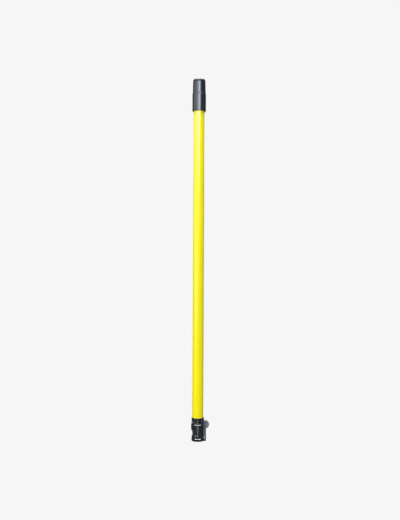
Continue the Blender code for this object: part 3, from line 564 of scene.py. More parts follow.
def felt_finish(name, colours):
    """Pressed felt: short tangled fibres."""
    made = Finish(name, {"Sheen Weight": 0.4, "Sheen Roughness": 0.5})
    fibres = made.noise(1400, 6.0, (1, 1, 1), 0.75)
    lumps = made.noise(260, 3.0)
    tone = made.blend(fibres, colours.felt, toned(colours.felt, 2.2))
    made.bump(fibres * 0.7 + lumps * 0.3, 0.0002, 0.8)
    return made.done({"Base Color": tone, "Roughness": 0.9 + lumps * 0.05})


FINISH_MAKERS = {
    "yellow_laminate": laminate_finish,
    "black_rubber": rubber_finish,
    "black_moulding": moulding_finish,
    "grey_casting": casting_finish,
    "bright_steel": steel_finish,
    "yellow_brass": brass_finish,
    "pale_nylon": nylon_finish,
    "grey_felt": felt_finish,
}

finishes = {}


def finish(slot):
    """The material of a slot, made when it is first asked for."""
    if slot not in finishes:
        finishes[slot] = FINISH_MAKERS[slot](slot, bpy.context.scene.pole_colours)
    return finishes[slot]


# Mesh helpers

def arc(centre, radius, start, end, steps):
    """Points on a flat arc, in degrees, both ends included."""
    points = []
    for step in range(steps + 1):
        angle = math.radians(start + (end - start) * step / steps)
        points.append((centre[0] + radius * math.cos(angle), centre[1] + radius * math.sin(angle)))
    return points


def circle(centre, radius, steps=SMALL_STEPS):
    return arc(centre, radius, 0, 360, steps)[:-1]


def span(side, near, far):
    """Low and high end of a stretch from near to far, on the side -1 or +1 of the middle."""
    return sorted((side * near, side * far))


def turned_corner(before, corner, after, radius, steps):
    """Points of a soft turn in place of a corner."""
    here = Vector(corner)
    back = Vector(before) - here
    onward = Vector(after) - here
    bend = (math.pi - back.angle(onward)) / 2
    reach = min(radius * math.tan(bend), back.length * 0.45, onward.length * 0.45)
    start = here + back.normalized() * reach
    end = here + onward.normalized() * reach
    points = []
    for step in range(steps + 1):
        share = step / steps
        points.append(tuple(start.lerp(here, share).lerp(here.lerp(end, share), share)))
    return points


def softened(corners, radius, steps=4, closed=True):
    """An outline with its corners turned. An open one keeps its two ends."""
    points = []
    count = len(corners)
    for index, corner in enumerate(corners):
        at_end = not closed and index in (0, count - 1)
        if at_end or corner[0] == 0:
            points.append(tuple(corner))
        else:
            neighbours = corners[index - 1], corners[(index + 1) % count]
            points += turned_corner(neighbours[0], corner, neighbours[1], radius, steps)
    return points


def new_object(name, mesh_builder):
    """Turn a bmesh into an object with its faces pointing out."""
    bmesh.ops.remove_doubles(mesh_builder, verts=mesh_builder.verts, dist=1e-7)
    bmesh.ops.recalc_face_normals(mesh_builder, faces=mesh_builder.faces)
    mesh = bpy.data.meshes.new(name)
    mesh_builder.to_mesh(mesh)
    mesh_builder.free()
    made = bpy.data.objects.new(name, mesh)
    bpy.context.scene.collection.objects.link(made)
    return made


def bridge(mesh_builder, first, second):
    """Faces between two rings, where a ring of one vertex is a point on the axis."""
    count = max(len(first), len(second))
    if count == 1:
        return
    for step in range(count):
        following = (step + 1) % count
        corners = [first[step % len(first)], first[following % len(first)]]
        corners += [second[following % len(second)], second[step % len(second)]]
        mesh_builder.faces.new(list(dict.fromkeys(corners)))


def shell(name, rings):
    """A body from a closed loop of rings of points."""
    mesh_builder = bmesh.new()
    loops = [[mesh_builder.verts.new(point) for point in ring] for ring in rings]
    for first, second in zip(loops, loops[1:] + loops[:1]):
        bridge(mesh_builder, first, second)
    return new_object(name, mesh_builder)


def lathe(name, profile, steps=FINE_STEPS):
    """A body turned about the Z axis from a closed loop of (radius, height) points."""
    rings = []
    for radius, height in profile:
        directions = circle((0, 0), 1, steps) if radius > 0 else [(0, 0)]
        rings.append([(radius * x, radius * y, height) for x, y in directions])
    return shell(name, rings)


def prism(name, outline, axis, low, high, bevel=0.0):
    """An outline pushed along one axis, with soft rims. The outline's two axes keep X, Y, Z order.

    Where the rims are soft, a ring of edges inside each end keeps the edge mark, wear and painted sheen, near the
    rim.
    """
    mesh_builder = bmesh.new()
    ends = []
    for along in (low, high):
        ring = []
        for first, second in outline:
            placed = {"X": (along, first, second), "Y": (first, along, second), "Z": (first, second, along)}
            ring.append(mesh_builder.verts.new(placed[axis]))
        ends.append(ring)
    bridge(mesh_builder, *ends)
    faces = [mesh_builder.faces.new(ring) for ring in ends]
    if bevel > 0:
        rims = [edge for face in faces for edge in face.edges]
        bmesh.ops.bevel(mesh_builder, geom=rims, offset=bevel, segments=3, profile=0.5, affect="EDGES")
        widest = sorted(mesh_builder.faces, key=lambda face: face.calc_area())[-2:]
        bmesh.ops.inset_individual(mesh_builder, faces=widest, thickness=bevel)
    return new_object(name, mesh_builder)


def block(name, low, high):
    outline = [(low[0], low[1]), (high[0], low[1]), (high[0], high[1]), (low[0], high[1])]
    return prism(name, outline, "Z", low[2], high[2])


def moved(made, matrix):
    """The object with its mesh moved, turned or both."""
    made.data.transform(matrix)
    return made


def along_y(made, point):
    """Lay a turned body's axis along +Y and put its foot on a point."""
    return moved(made, Matrix.Translation(point) @ Matrix.Rotation(math.radians(-90), 4, "X"))


def along_radius(made, height, angle):
    """Point a turned body's axis away from the pole's axis."""
    lean = Matrix.Rotation(angle, 4, "Z") @ Matrix.Rotation(math.radians(90), 4, "Y")
    return moved(made, Matrix.Translation((0, 0, height)) @ lean)


def plain_mesh(made):
    """The object with its modifiers' result as its own mesh."""
    bpy.context.view_layer.update()
    evaluated = made.evaluated_get(bpy.context.evaluated_depsgraph_get())
    mesh = bpy.data.meshes.new_from_object(evaluated)
    made.modifiers.clear()
    made.data = mesh
    return made


def combine(target, tools, operation):
    """Join shapes that lie apart to an object, or cut them out, in one step."""
    mesh_builder = bmesh.new()
    for tool in tools:
        mesh_builder.from_mesh(tool.data)
        bpy.data.objects.remove(tool)
    cutter = new_object("cutter", mesh_builder)
    modifier = target.modifiers.new("combine", "BOOLEAN")
    modifier.operation = operation
    modifier.solver = "EXACT"
    modifier.object = cutter
    plain_mesh(target)
    bpy.data.objects.remove(cutter)


def join(target, *tools):
    combine(target, tools, "UNION")


def cut(target, *tools):
    combine(target, tools, "DIFFERENCE")


def cast_skin(made, grain, passes):
    """Remesh a body finely and relax it, so that its edges turn softly, as on a casting."""
    remesh = made.modifiers.new("skin", "REMESH")
    remesh.mode = "VOXEL"
    remesh.voxel_size = grain
    relax = made.modifiers.new("relax", "SMOOTH")
    relax.factor = 0.5
    relax.iterations = passes
    return plain_mesh(made)


def mark_edges(made, spread):
    """Store how sharply each vertex's edges turn outwards, 0 to 1, in the attribute edge."""
    mesh_builder = bmesh.new()
    mesh_builder.from_mesh(made.data)
    sharpness = {}
    for vertex in mesh_builder.verts:
        turns = [edge.calc_face_angle_signed(0.0) for edge in vertex.link_edges]
        sharpness[vertex] = min(1.0, max(0.0, max(turns, default=0.0) / EDGE_WEAR_AND_SHEEN_ANGLE))
    for _ in range(spread):
        beside = {vertex: max((sharpness[edge.other_vert(vertex)] for edge in vertex.link_edges), default=0.0)
                  for vertex in mesh_builder.verts}
        sharpness = {vertex: max(value, beside[vertex] * EDGE_WEAR_AND_SHEEN_FADE) for vertex, value in sharpness.items()}
    sharpness = [sharpness[vertex] for vertex in mesh_builder.verts]
    mesh_builder.free()
    made.data.attributes.new("edge", "FLOAT", "POINT").data.foreach_set("value", sharpness)


def hand_over(made, body, slot, *nodes, spread=0):
    """Give a finished piece its material, its body and the nodes that it stands for.

    Normals are weighted by area, so that a long plain face next to a soft edge is shaded as flat.
    """
    mark_edges(made, spread)
    made.data.materials.clear()
    made.data.materials.append(finish(slot))
    made.data.shade_smooth()
    made.data.set_sharp_from_angle(angle=SMOOTH_ANGLE)
    normals = made.modifiers.new("normals", "WEIGHTED_NORMAL")
    normals.keep_sharp = True
    plain_mesh(made)
    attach(made, body)
    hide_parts(*nodes)


# Geometry node trees

class Growth(Recipe):
    """A geometry node tree with named inputs, which ends in one real mesh with its material."""

    def __init__(self, name, sizes):
        super().__init__(bpy.data.node_groups.new(name, "GeometryNodeTree"))
        for label, default in sizes.items():
            kind = "NodeSocketInt" if isinstance(default, int) else "NodeSocketFloat"
            socket = self.tree.interface.new_socket(label, in_out="INPUT", socket_type=kind)
            socket.default_value = default
        self.tree.interface.new_socket("Finish", in_out="INPUT", socket_type="NodeSocketMaterial")
        self.tree.interface.new_socket("Geometry", in_out="OUTPUT", socket_type="NodeSocketGeometry")
        self.inputs = self.tree.nodes.new("NodeGroupInput")

    def given(self, label):
        return Value(self, self.inputs.outputs[label])

    def point(self, x=0.0, y=0.0, z=0.0):
        return self.node("ShaderNodeCombineXYZ", {}, {"X": x, "Y": y, "Z": z})

    def done(self, geometry):
        real = self.node("GeometryNodeRealizeInstances", {}, {"Geometry": geometry})
        sockets = {"Geometry": real, "Material": self.given("Finish")}
        dressed = self.node("GeometryNodeSetMaterial", {}, sockets)
        output = self.tree.nodes.new("NodeGroupOutput")
        self.feed(output, "Geometry", dressed)
        return self.tree


def grow(name, tree, slot, sizes):
    """Run a tree with these sizes and keep the plain mesh, with its faces pointing out."""
    made = bpy.data.objects.new(name, bpy.data.meshes.new(name))
    bpy.context.scene.collection.objects.link(made)
    modifier = made.modifiers.new("grow", "NODES")
    modifier.node_group = tree
    for item in tree.interface.items_tree:
        if item.in_out == "INPUT" and item.name == "Finish":
            modifier[item.identifier] = finish(slot)
        elif item.in_out == "INPUT":
            modifier[item.identifier] = sizes[item.name]
    plain_mesh(made)
    mesh_builder = bmesh.new()
    mesh_builder.from_mesh(made.data)
    bmesh.ops.remove_doubles(mesh_builder, verts=mesh_builder.verts, dist=1e-7)
    bmesh.ops.recalc_face_normals(mesh_builder, faces=mesh_builder.faces)
    mesh_builder.to_mesh(made.data)
    mesh_builder.free()
    return made


def sleeve_tree():
    """A round sleeve with soft ends: a rectangle with turned corners swept round the axis."""
    made = Growth("sleeve", {
        "Bore": 0.01, "Outside": 0.02, "Low": 0.0, "High": 0.1, "Edge round": 0.0003, "Steps": 64})
    bore, outside = made.given("Bore"), made.given("Outside")
    low, high = made.given("Low"), made.given("High")
    section = made.node("GeometryNodeCurvePrimitiveQuadrilateral", {}, {
        "Width": outside - bore, "Height": high - low})
    soft = made.node("GeometryNodeFilletCurve", {"mode": "POLY"}, {
        "Curve": section, "Count": 3, "Radius": made.given("Edge round"), "Limit Radius": True})
    path = made.node("GeometryNodeCurvePrimitiveCircle", {}, {
        "Resolution": made.given("Steps"), "Radius": (bore + outside) * 0.5})
    swept = made.node("GeometryNodeCurveToMesh", {}, {"Curve": path, "Profile Curve": soft})
    place = made.point(z=(low + high) * 0.5)
    return made.done(made.node("GeometryNodeTransform", {}, {"Geometry": swept, "Translation": place}))


# Squared radius at a dome's end, as a share of the head's, which keeps its last ring open
DOME_END = 0.03


def rivets_tree():
    """Rivets that point away from the pole's axis: a row up the pole in each of two directions.

    One rivet is a straight line swept with a radius that swells into the head and closes over its dome.
    """
    made = Growth("rivets", {
        "Start": 0.016, "Seat": 0.022, "Edge": 0.0004, "End": 0.0235, "Shank radius": 0.002,
        "Head radius": 0.003, "First direction": 0.0, "Second direction": 3.0, "Low": 0.0, "Rise": 0.1,
        "Count": 1, "Rings": 48, "Steps": 32})
    start, end, seat = made.given("Start"), made.given("End"), made.given("Seat")
    ends = {"Start": made.point(x=start), "End": made.point(x=end)}
    line = made.node("GeometryNodeCurvePrimitiveLine", {}, ends)
    line = made.node("GeometryNodeResampleCurve", {"mode": "COUNT"}, {
        "Curve": line, "Count": made.given("Rings")})
    along = made.node("GeometryNodeSplineParameter").other("Length") + start
    dome = (along - seat - made.given("Edge")).at_least(0.0) / (end - seat - made.given("Edge"))
    head = (1 + DOME_END - dome * dome).at_least(0.0).root() * made.given("Head radius") * (along > seat)
    ring = made.node("GeometryNodeCurvePrimitiveCircle", {}, {
        "Resolution": made.given("Steps"), "Radius": 1.0})
    radius = head.at_least(made.given("Shank radius") * (seat > along))
    rivet = made.node("GeometryNodeCurveToMesh", {}, {
        "Curve": line, "Profile Curve": ring, "Scale": radius, "Fill Caps": True})
    pair = []
    for label in ("First direction", "Second direction"):
        turn = made.point(z=made.given(label))
        pair.append(made.node("GeometryNodeTransform", {}, {"Geometry": rivet, "Rotation": turn}))
    row = made.node("GeometryNodeMeshLine", {}, {
        "Count": made.given("Count"), "Start Location": made.point(z=made.given("Low")),
        "Offset": made.point(z=made.given("Rise"))})
    both = made.node("GeometryNodeJoinGeometry", {}, {"Geometry": pair})
    return made.done(made.node("GeometryNodeInstanceOnPoints", {}, {"Points": row, "Instance": both}))


def serrations_tree():
    """Round bars across the thumb lobe, one pitch apart along its arc."""
    made = Growth("serrations", {
        "Arc radius": 0.014, "First angle": -1.0, "Sweep": 2.0, "Pitch": 0.0026, "Bar radius": 0.0008,
        "Bar length": 0.015, "Centre X": 0.0, "Centre Z": 0.0, "Steps": 10})
    path = made.node("GeometryNodeCurveArc", {"mode": "RADIUS"}, {
        "Resolution": 64, "Radius": made.given("Arc radius"), "Start Angle": made.given("First angle"),
        "Sweep Angle": made.given("Sweep")})
    spaced = made.node("GeometryNodeResampleCurve", {"mode": "LENGTH"}, {
        "Curve": path, "Length": made.given("Pitch")})
    bar = made.node("GeometryNodeMeshCylinder", {}, {
        "Vertices": made.given("Steps"), "Radius": made.given("Bar radius"),
        "Depth": made.given("Bar length")})
    bars = made.node("GeometryNodeInstanceOnPoints", {}, {"Points": spaced, "Instance": bar})
    place = made.point(x=made.given("Centre X"), z=made.given("Centre Z"))
    upright = made.point(x=math.radians(90))
    return made.done(made.node("GeometryNodeTransform", {}, {
        "Geometry": bars, "Translation": place, "Rotation": upright}))


# Tubes

class TubesOperator(bpy.types.Operator):
    """Makes the outer and inner laminate tubes"""
    bl_idname = "pole.tubes"
    bl_label = "Tubes"

    def execute(self, context):
        settings = context.scene.pole_tubes
        tree = sleeve_tree()
        for node, body in (("outer_tube", "outer"), ("inner_tube", "inner_section")):
            bore, outside = end_radii(node, 0)
            low, high = heights(node)
            made = grow(f"{node}_laminate", tree, "yellow_laminate", {
                "Bore": bore, "Outside": outside, "Low": low, "High": high, "Edge round": settings.edge_round,
                "Steps": TUBE_STEPS})
            if node == "inner_tube":
                holes = []
                for height in flush_rivet_heights():
                    outline = circle((0, height), settings.rivet_hole_radius)
                    holes.append(prism("hole", outline, "X", -outside - OVERSHOOT, outside + OVERSHOOT))
                cut(made, *holes)
            hand_over(made, body, "yellow_laminate", node)
        return {"FINISHED"}


def flush_rivet_heights():
    return [sum(heights(node)) / 2 for node in ("tip_rivet_right", "rear_rivet_right")]


# End cap

class CapOperator(bpy.types.Operator):
    """Makes the rubber cap with its skirt, step, taper, groove and rounded end"""
    bl_idname = "pole.cap"
    bl_label = "End cap"

    def execute(self, context):
        made = lathe("end_cap_rubber", cap_profile(context.scene.pole_cap), TUBE_STEPS)
        hand_over(made, "outer", "black_rubber", "butt_cap")
        return {"FINISHED"}


def cap_profile(cap):
    """The cap's section, with its step, groove and turned edges."""
    skirt_r = OUTER_R + cap.skirt_wall
    taper_low_r = OUTER_R + cap.taper_low_wall
    rim_r = OUTER_R + cap.taper_high_wall
    bore_r = OUTER_R + GAP
    step_low = CAP_LOW + cap.skirt_length
    step_top = step_low + cap.step_height
    groove_low = CAP_TOP - cap.groove_drop
    groove_top = groove_low + cap.groove_width
    outside = [(bore_r, CAP_LOW), (skirt_r, CAP_LOW), (skirt_r, step_low), (taper_low_r, step_top)]
    outside += [(rim_r, groove_low), (rim_r - cap.groove_depth, groove_top - cap.groove_depth)]
    outside += [(rim_r, groove_top)]
    end_centre = (rim_r - cap.end_round, CAP_TOP - cap.end_crown - cap.end_round)
    inside = [(0, CAP_TOP), (0, CAP_TOP - cap.end_wall), (bore_r, CAP_TOP - cap.end_wall)]
    profile = softened(outside, cap.edge_round, closed=False)
    return profile + arc(end_centre, cap.end_round, 0, 90, 14) + inside


# Clamp housing

# The front, towards -Y, and the back
SIDES = (-1, 1)

# Largest distance between the housing's rows, and between the columns on its plain sides
ROW_SPACING = 0.0008
COLUMN_SPACING = 0.0009

# Parts across each corner between the lever's side and a pocketed side, and across the far side
CORNER_PARTS = 5
FAR_PARTS = 33

# How the scooped panels steepen towards their feet
PANEL_POWER = 2.5

# How far out the pivot's holes are cut, past both lugs
PIVOT_REACH = 0.020


class HousingOperator(bpy.types.Operator):
    """Makes the moulded clamp housing with its ring, ribs, pockets, bosses and lugs"""
    bl_idname = "pole.housing"
    bl_label = "Clamp housing"

    def execute(self, context):
        housing = context.scene.pole_housing
        made = housing_body(housing)
        join(made, *[make(housing, side) for make in (lug, oval_boss) for side in SIDES])
        scene = context.scene
        holes = ((boss_hole, housing), (rivet_hole, scene.pole_rivets), (pivot_hole, scene.pole_pivot))
        cut(made, *[make(settings, side) for make, settings in holes for side in SIDES])
        half = SHOE_HALF_WIDTH + GAP
        cut(made, block("slot", (INNER_R / 2, -half, SHOE_LOW - GAP), (PIVOT.x * 2, half, SHOE_TOP + GAP)))
        hand_over(made, "outer", "black_moulding", "clamp_housing", spread=2)
        return {"FINISHED"}


def soft_step(value, edge, width):
    """0 before an edge and 1 after it, with a smooth turn of this width."""
    share = min(1.0, max(0.0, (value - edge) / width + 0.5))
    return share * share * (3 - 2 * share)


def window(value, low, high, width):
    """1 between two edges and 0 outside them, with smooth turns."""
    return soft_step(value, low, width) * (1 - soft_step(value, high, width))


def filled(edges, low, high, width, spacing):
    """Places from low to high: five across each soft edge, and the rest no further apart than spacing."""
    places = {low, high}
    for edge in edges:
        places.update(edge + width * share for share in (-0.5, -0.25, 0, 0.25, 0.5))
    ordered = sorted(place for place in places if low <= place <= high)
    result = [ordered[0]]
    for place in ordered[1:]:
        start = result[-1]
        count = math.ceil((place - start) / spacing - 1e-6)
        if count > 0:
            result += [start + (place - start) * step / count for step in range(1, count + 1)]
    return result


class HousingShape:
    """The housing's outside: a turned outline, changed by what stands out from it or is sunk into it."""

    def __init__(self, housing):
        self.sizes = housing
        self.height = HOUSING_TOP - HOUSING_LOW + housing.top_rise
        self.band_r = OUTER_R + housing.band_wall
        outline = softened(self.corners(), housing.chamfer, closed=False)
        self.radii = [radius for radius, rise in outline]
        self.rises = [rise for radius, rise in outline]
        self.rib_top = self.height - housing.rib_top_drop
        self.bay_low = PIVOT.z - HOUSING_LOW + housing.lug_radius + GAP
        self.rib_x = OUTER_R + GAP + housing.lever_rib
        flange = bpy.context.scene.pole_lever.flange
        self.flange_inner = LEVER_HALF_WIDTH - flange - GAP
        self.channel_x = math.sqrt((OUTER_R + GAP) ** 2 - self.flange_inner ** 2) + housing.lever_channel
        self.bay_half = LEVER_HALF_WIDTH + housing.soft_edge
        self.side_rib = housing.pocket_half_width + housing.side_rib_width

    def corners(self):
        """The outline's corners as (radius, rise), from the lower face to the lip."""
        sizes = self.sizes
        chamfer = sizes.chamfer
        ring_r = INNER_R + sizes.ring_wall
        collar_low = sizes.band_top + sizes.collar_step
        collar_r = OUTER_R + sizes.collar_high_wall
        points = [(ring_r - chamfer, 0), (ring_r, chamfer), (ring_r, sizes.ledge_rise)]
        points += [(INNER_R + sizes.ring_high_wall, sizes.ring_top)]
        points += [(INNER_R + sizes.waist_wall, sizes.waist_rise)]
        points += [(INNER_R + sizes.waist_top_wall, sizes.band_rise - chamfer)]
        points += [(self.band_r - chamfer, sizes.band_rise), (self.band_r, sizes.band_rise + chamfer)]
        points += [(self.band_r, sizes.band_top), (OUTER_R + sizes.collar_low_wall, collar_low)]
        points += [(collar_r, self.height - sizes.collar_band), (collar_r, self.height - chamfer)]
        return points + [(OUTER_R + sizes.lip_wall, self.height)]

    def radius(self, rise):
        return float(numpy.interp(rise, self.rises, self.radii))

    def row_rises(self):
        """Heights of the grid's rows: the outline's own and those of every soft edge."""
        sizes = self.sizes
        edges = [sizes.ledge_rise - sizes.ledge_slope, sizes.ledge_rise, sizes.rib_foot_rise, self.bay_low]
        edges += [sizes.waist_rise, sizes.band_top - sizes.pocket_roof, self.rib_top - sizes.rib_top_slope]
        edges += [self.rib_top, self.height - sizes.chamfer * 2, self.height - sizes.collar_band]
        rows = filled(edges, 0.0, self.height, sizes.soft_edge, ROW_SPACING)
        return sorted(set(rows + self.rises))

    def columns(self):
        """Every column's side of the housing, in quarter turns from the lever, and its place on that side.

        On the lever's side and on the two pocketed sides a place is a distance from the side's middle. In
        between, it is the share of the way from one side to the next.
        """
        sizes = self.sizes
        pocket_edges = [sizes.rib_half_width, sizes.pocket_half_width, self.side_rib]
        lever_edges = [self.flange_inner, self.bay_half]
        pocketed = self.mirrored(pocket_edges, self.side_rib + sizes.soft_edge)
        lever = self.mirrored(lever_edges, self.bay_half + sizes.soft_edge)
        corner = numpy.linspace(0, 1, CORNER_PARTS + 1)[1:-1]
        far = numpy.linspace(0, 1, FAR_PARTS + 1)[1:-1]
        stretches = ((0, lever), (0.5, corner), (1, pocketed), (2, far), (3, pocketed), (3.5, corner))
        return [(quarter, place) for quarter, places in stretches for place in places]

    def mirrored(self, edges, reach):
        both = [side * edge for edge in edges for side in (-1, 1)]
        return filled(both, -reach, reach, self.sizes.soft_edge, COLUMN_SPACING)

    def direction(self, column, rise):
        """Direction of a column at a rise. Past a side's straight part, columns keep their angles apart."""
        quarter, place = column
        radius = self.radius(rise)
        reaches = {0: (self.flange_inner + GAP, self.bay_half)}
        reaches[1] = (self.sizes.pocket_half_width + GAP, self.side_rib)

        def lean(side, distance):
            straight, reach = reaches[side % 2]
            near = min(abs(distance), straight)
            extra = math.asin(max(abs(distance), near) / self.band_r) - math.asin(near / self.band_r)
            return math.copysign(math.asin(near / radius) + extra, distance)

        if quarter in (0, 1, 3):
            return math.radians(90) * quarter + lean(quarter, place)
        first, second = {0.5: (0, 1), 2: (1, 3), 3.5: (3, 4)}[quarter]
        soft_edge = self.sizes.soft_edge
        start = math.radians(90) * first + lean(first, reaches[first % 2][1] + soft_edge)
        end = math.radians(90) * second - lean(second, reaches[second % 2][1] + soft_edge)
        return start + (end - start) * place

    def panel_radius(self, rise):
        """Radius of the scooped panels between the upper ribs."""
        sizes = self.sizes
        foot = sizes.band_top + sizes.panel_step
        foot_r = OUTER_R + sizes.panel_foot_wall
        if rise < foot:
            return float(numpy.interp(rise, (sizes.band_top, foot), (self.band_r, foot_r)))
        left = max(0.0, 1 - (rise - foot) / (self.height - sizes.collar_band - foot))
        top_r = OUTER_R + sizes.panel_wall
        return top_r + (foot_r - top_r) * left ** PANEL_POWER

    def pocketed(self, across, rise, plain):
        """Reach of the front or back at a distance from its middle, where the plain outline reaches plain."""
        sizes = self.sizes
        soft = sizes.soft_edge
        radius = self.radius(rise)
        if rise < sizes.waist_rise:
            ledge_foot = sizes.ledge_rise - sizes.ledge_slope
            slope = (ledge_foot, sizes.ledge_rise, sizes.recess_rise, sizes.waist_rise)
            walls = (sizes.ring_wall, sizes.ring_recess_wall, sizes.ring_recess_wall, sizes.waist_wall)
            floor = INNER_R + numpy.interp(rise, slope, walls)
            sunk = min(radius, float(floor))
        elif rise > sizes.band_top:
            floor = min(radius, self.panel_radius(rise))
            sunk = floor + (radius - floor) * soft_step(rise, self.height - sizes.collar_band, soft)
        else:
            floor = min(radius, OUTER_R + sizes.pocket_floor_wall)
            foot = sizes.band_rise - sizes.chamfer * 2
            sunk = radius + (floor - radius) * window(rise, foot, sizes.band_top - sizes.pocket_roof, soft)
        inside = 1 - soft_step(abs(across), sizes.pocket_half_width, soft)
        reach = plain + (math.sqrt(sunk ** 2 - min(abs(across), sunk) ** 2) - plain) * inside
        middle_rises = (sizes.rib_foot_rise, sizes.band_rise + sizes.chamfer * 2, sizes.boss_rise)
        chamfer_low = self.rib_top - sizes.rib_top_slope
        rib_reach = math.sqrt(self.band_r ** 2 - sizes.rib_half_width ** 2)
        foot_reach = INNER_R + sizes.rib_foot_wall
        rib_line = (foot_reach, self.band_r - GAP, rib_reach, rib_reach, rib_reach - sizes.pocket_roof)
        rib = float(numpy.interp(rise, (*middle_rises, chamfer_low, self.rib_top), rib_line))
        mask = 1 - soft_step(abs(across), sizes.rib_half_width, soft)
        mask *= window(rise, sizes.rib_foot_rise, self.rib_top, soft)
        reach += (max(reach, rib) - reach) * mask
        outer_reach = math.sqrt(self.band_r ** 2 - self.side_rib ** 2)
        outer_line = (outer_reach, outer_reach - sizes.pocket_roof)
        rib = float(numpy.interp(rise, (chamfer_low, self.rib_top), outer_line))
        mask = window(abs(across), sizes.pocket_half_width, self.side_rib, soft)
        mask *= window(rise, sizes.band_top - sizes.pocket_roof, self.rib_top, soft)
        return reach + (max(reach, rib) - reach) * mask

    def lever_side(self, across, rise, plain):
        """Reach of the side behind the lever: a rib in the middle and a channel on each side of it."""
        soft = self.sizes.soft_edge
        middle = 1 - soft_step(abs(across), self.flange_inner, soft)
        floor = self.channel_x + (self.rib_x - self.channel_x) * middle
        bay = (1 - soft_step(abs(across), self.bay_half, soft)) * soft_step(rise, self.bay_low, soft)
        reach = plain + (min(plain, floor) - plain) * bay
        rib = middle * window(rise, self.sizes.waist_rise, self.height - self.sizes.chamfer * 2, soft)
        return reach + (max(reach, self.rib_x) - reach) * rib

    def ring(self, rise, bore=None):
        """A ring of points at a rise: on the outside, or on a plain bore of the same columns."""
        points = []
        for column in self.columns():
            quarter, place = column
            angle = self.direction(column, rise)
            side = math.radians(90) * (quarter if quarter in (0, 1, 3) else 0)
            reach = bore or self.radius(rise)
            across, plain = reach * math.sin(angle - side), reach * math.cos(angle - side)
            if bore is None and quarter == 0:
                plain = self.lever_side(place, rise, plain)
            elif bore is None and quarter in (1, 3):
                plain = self.pocketed(place, rise, plain)
            x = plain * math.cos(side) - across * math.sin(side)
            y = plain * math.sin(side) + across * math.cos(side)
            points.append((x, y, HOUSING_LOW + rise))
        return points


def housing_body(housing):
    """The housing as one shell: its outside from the lower face up, then its stepped bore downwards."""
    shape = HousingShape(housing)
    rings = [shape.ring(rise) for rise in shape.row_rises()]
    tube_seat = OUTER_LOW - GAP - HOUSING_LOW
    wiper_seat = WIPER_LOW - GAP - HOUSING_LOW
    seat_r = OUTER_R + GAP
    bush_r = BUSH_R + GAP
    plain_r = INNER_R + GAP * 2
    steps = [(seat_r + GAP, shape.height), (seat_r, shape.height - GAP), (seat_r, tube_seat)]
    steps += [(bush_r, tube_seat), (bush_r, wiper_seat), (plain_r, wiper_seat), (plain_r, GAP)]
    steps += [(plain_r + GAP, 0)]
    rings += [shape.ring(rise, bore) for bore, rise in steps]
    return shell("clamp_housing_moulding", rings)


def lug(housing, side):
    """One of the two lugs that carry the pivot screw."""
    root_x = INNER_R + GAP * 4
    foot_z = HOUSING_LOW + GAP
    outline = [(root_x, foot_z), (PIVOT.x + housing.lug_toe, foot_z)]
    outline += arc((PIVOT.x, PIVOT.z), housing.lug_radius, -35, 90, 20)
    outline += [(root_x, PIVOT.z + housing.lug_radius)]
    ends = span(side, SHOE_HALF_WIDTH, SHOE_HALF_WIDTH + GAP + housing.lug_thickness)
    return prism("lug", outline, "Y", *ends, bevel=housing.soft_edge)


def oval_boss(housing, side):
    """Bare oval boss in the middle of a pocketed side."""
    centre_z = HOUSING_LOW + housing.boss_rise
    outline = [(housing.boss_half_width * x, centre_z + housing.boss_half_height * z)
               for x, z in circle((0, 0), 1, 64)]
    root = OUTER_R + housing.pocket_floor_wall - housing.chamfer
    face = OUTER_R + housing.band_wall - housing.boss_drop
    return prism("boss", outline, "Y", *span(side, root, face), bevel=housing.soft_edge * 0.7)


def boss_hole(housing, side):
    """Blind round hole in the middle of the boss."""
    outline = circle((0, HOUSING_LOW + housing.boss_rise), housing.boss_hole_radius)
    face = OUTER_R + housing.band_wall - housing.boss_drop
    return prism("boss_hole", outline, "Y", *span(side, face - housing.boss_hole_depth, face + OVERSHOOT))


def rivet_hole(rivets, side):
    """Hole for a rivet through the collar."""
    start, end = OUTER_BORE, OUTER_R * 2
    outline = [(0, start), (rivets.hole_radius, start), (rivets.hole_radius, end), (0, end)]
    return along_radius(lathe("rivet_hole", outline, SMALL_STEPS), RIVET_Z, side * rivets.direction)


def pivot_hole(pivot, side):
    """Hole for the pivot screw through one lug."""
    outline = circle((PIVOT.x, PIVOT.z), pivot.screw_radius + GAP)
    return prism("pivot_hole", outline, "Y", *span(side, SHOE_HALF_WIDTH + GAP * 2, PIVOT_REACH))


# Lever

# Directions in degrees, from +X towards +Z: both ends of the cam and the lobe, and the serrations' stretch
CAM_ENDS = 100, 255
LOBE_ENDS = -85, 80
SERRATIONS_START = -62
SERRATIONS_SWEEP = 136


class LeverOperator(bpy.types.Operator):
    """Makes the cast cam lever and the serrations on its thumb lobe"""
    bl_idname = "pole.lever"
    bl_label = "Cam lever"

    def execute(self, context):
        lever = context.scene.pole_lever
        made = lever_body(lever, context.scene.pole_housing)
        cast_skin(made, lever.skin, 3)
        hand_over(made, "lever", "grey_casting", "cam_lever")
        centre_x, centre_z = lobe_centre(lever)
        bars = grow("thumb_serrations", serrations_tree(), "grey_casting", {
            "Arc radius": lever.lobe_radius - lever.tooth_radius,
            "First angle": math.radians(SERRATIONS_START), "Sweep": math.radians(SERRATIONS_SWEEP),
            "Pitch": lever.tooth_pitch, "Bar radius": lever.tooth_radius,
            "Bar length": 2 * lever.lobe_half_width - GAP * 2, "Centre X": centre_x, "Centre Z": centre_z,
            "Steps": 12})
        hand_over(bars, "lever", "grey_casting")
        return {"FINISHED"}


def lobe_centre(lever):
    return PIVOT.x + lever.lobe_offset, PIVOT.z + lever.lobe_rise


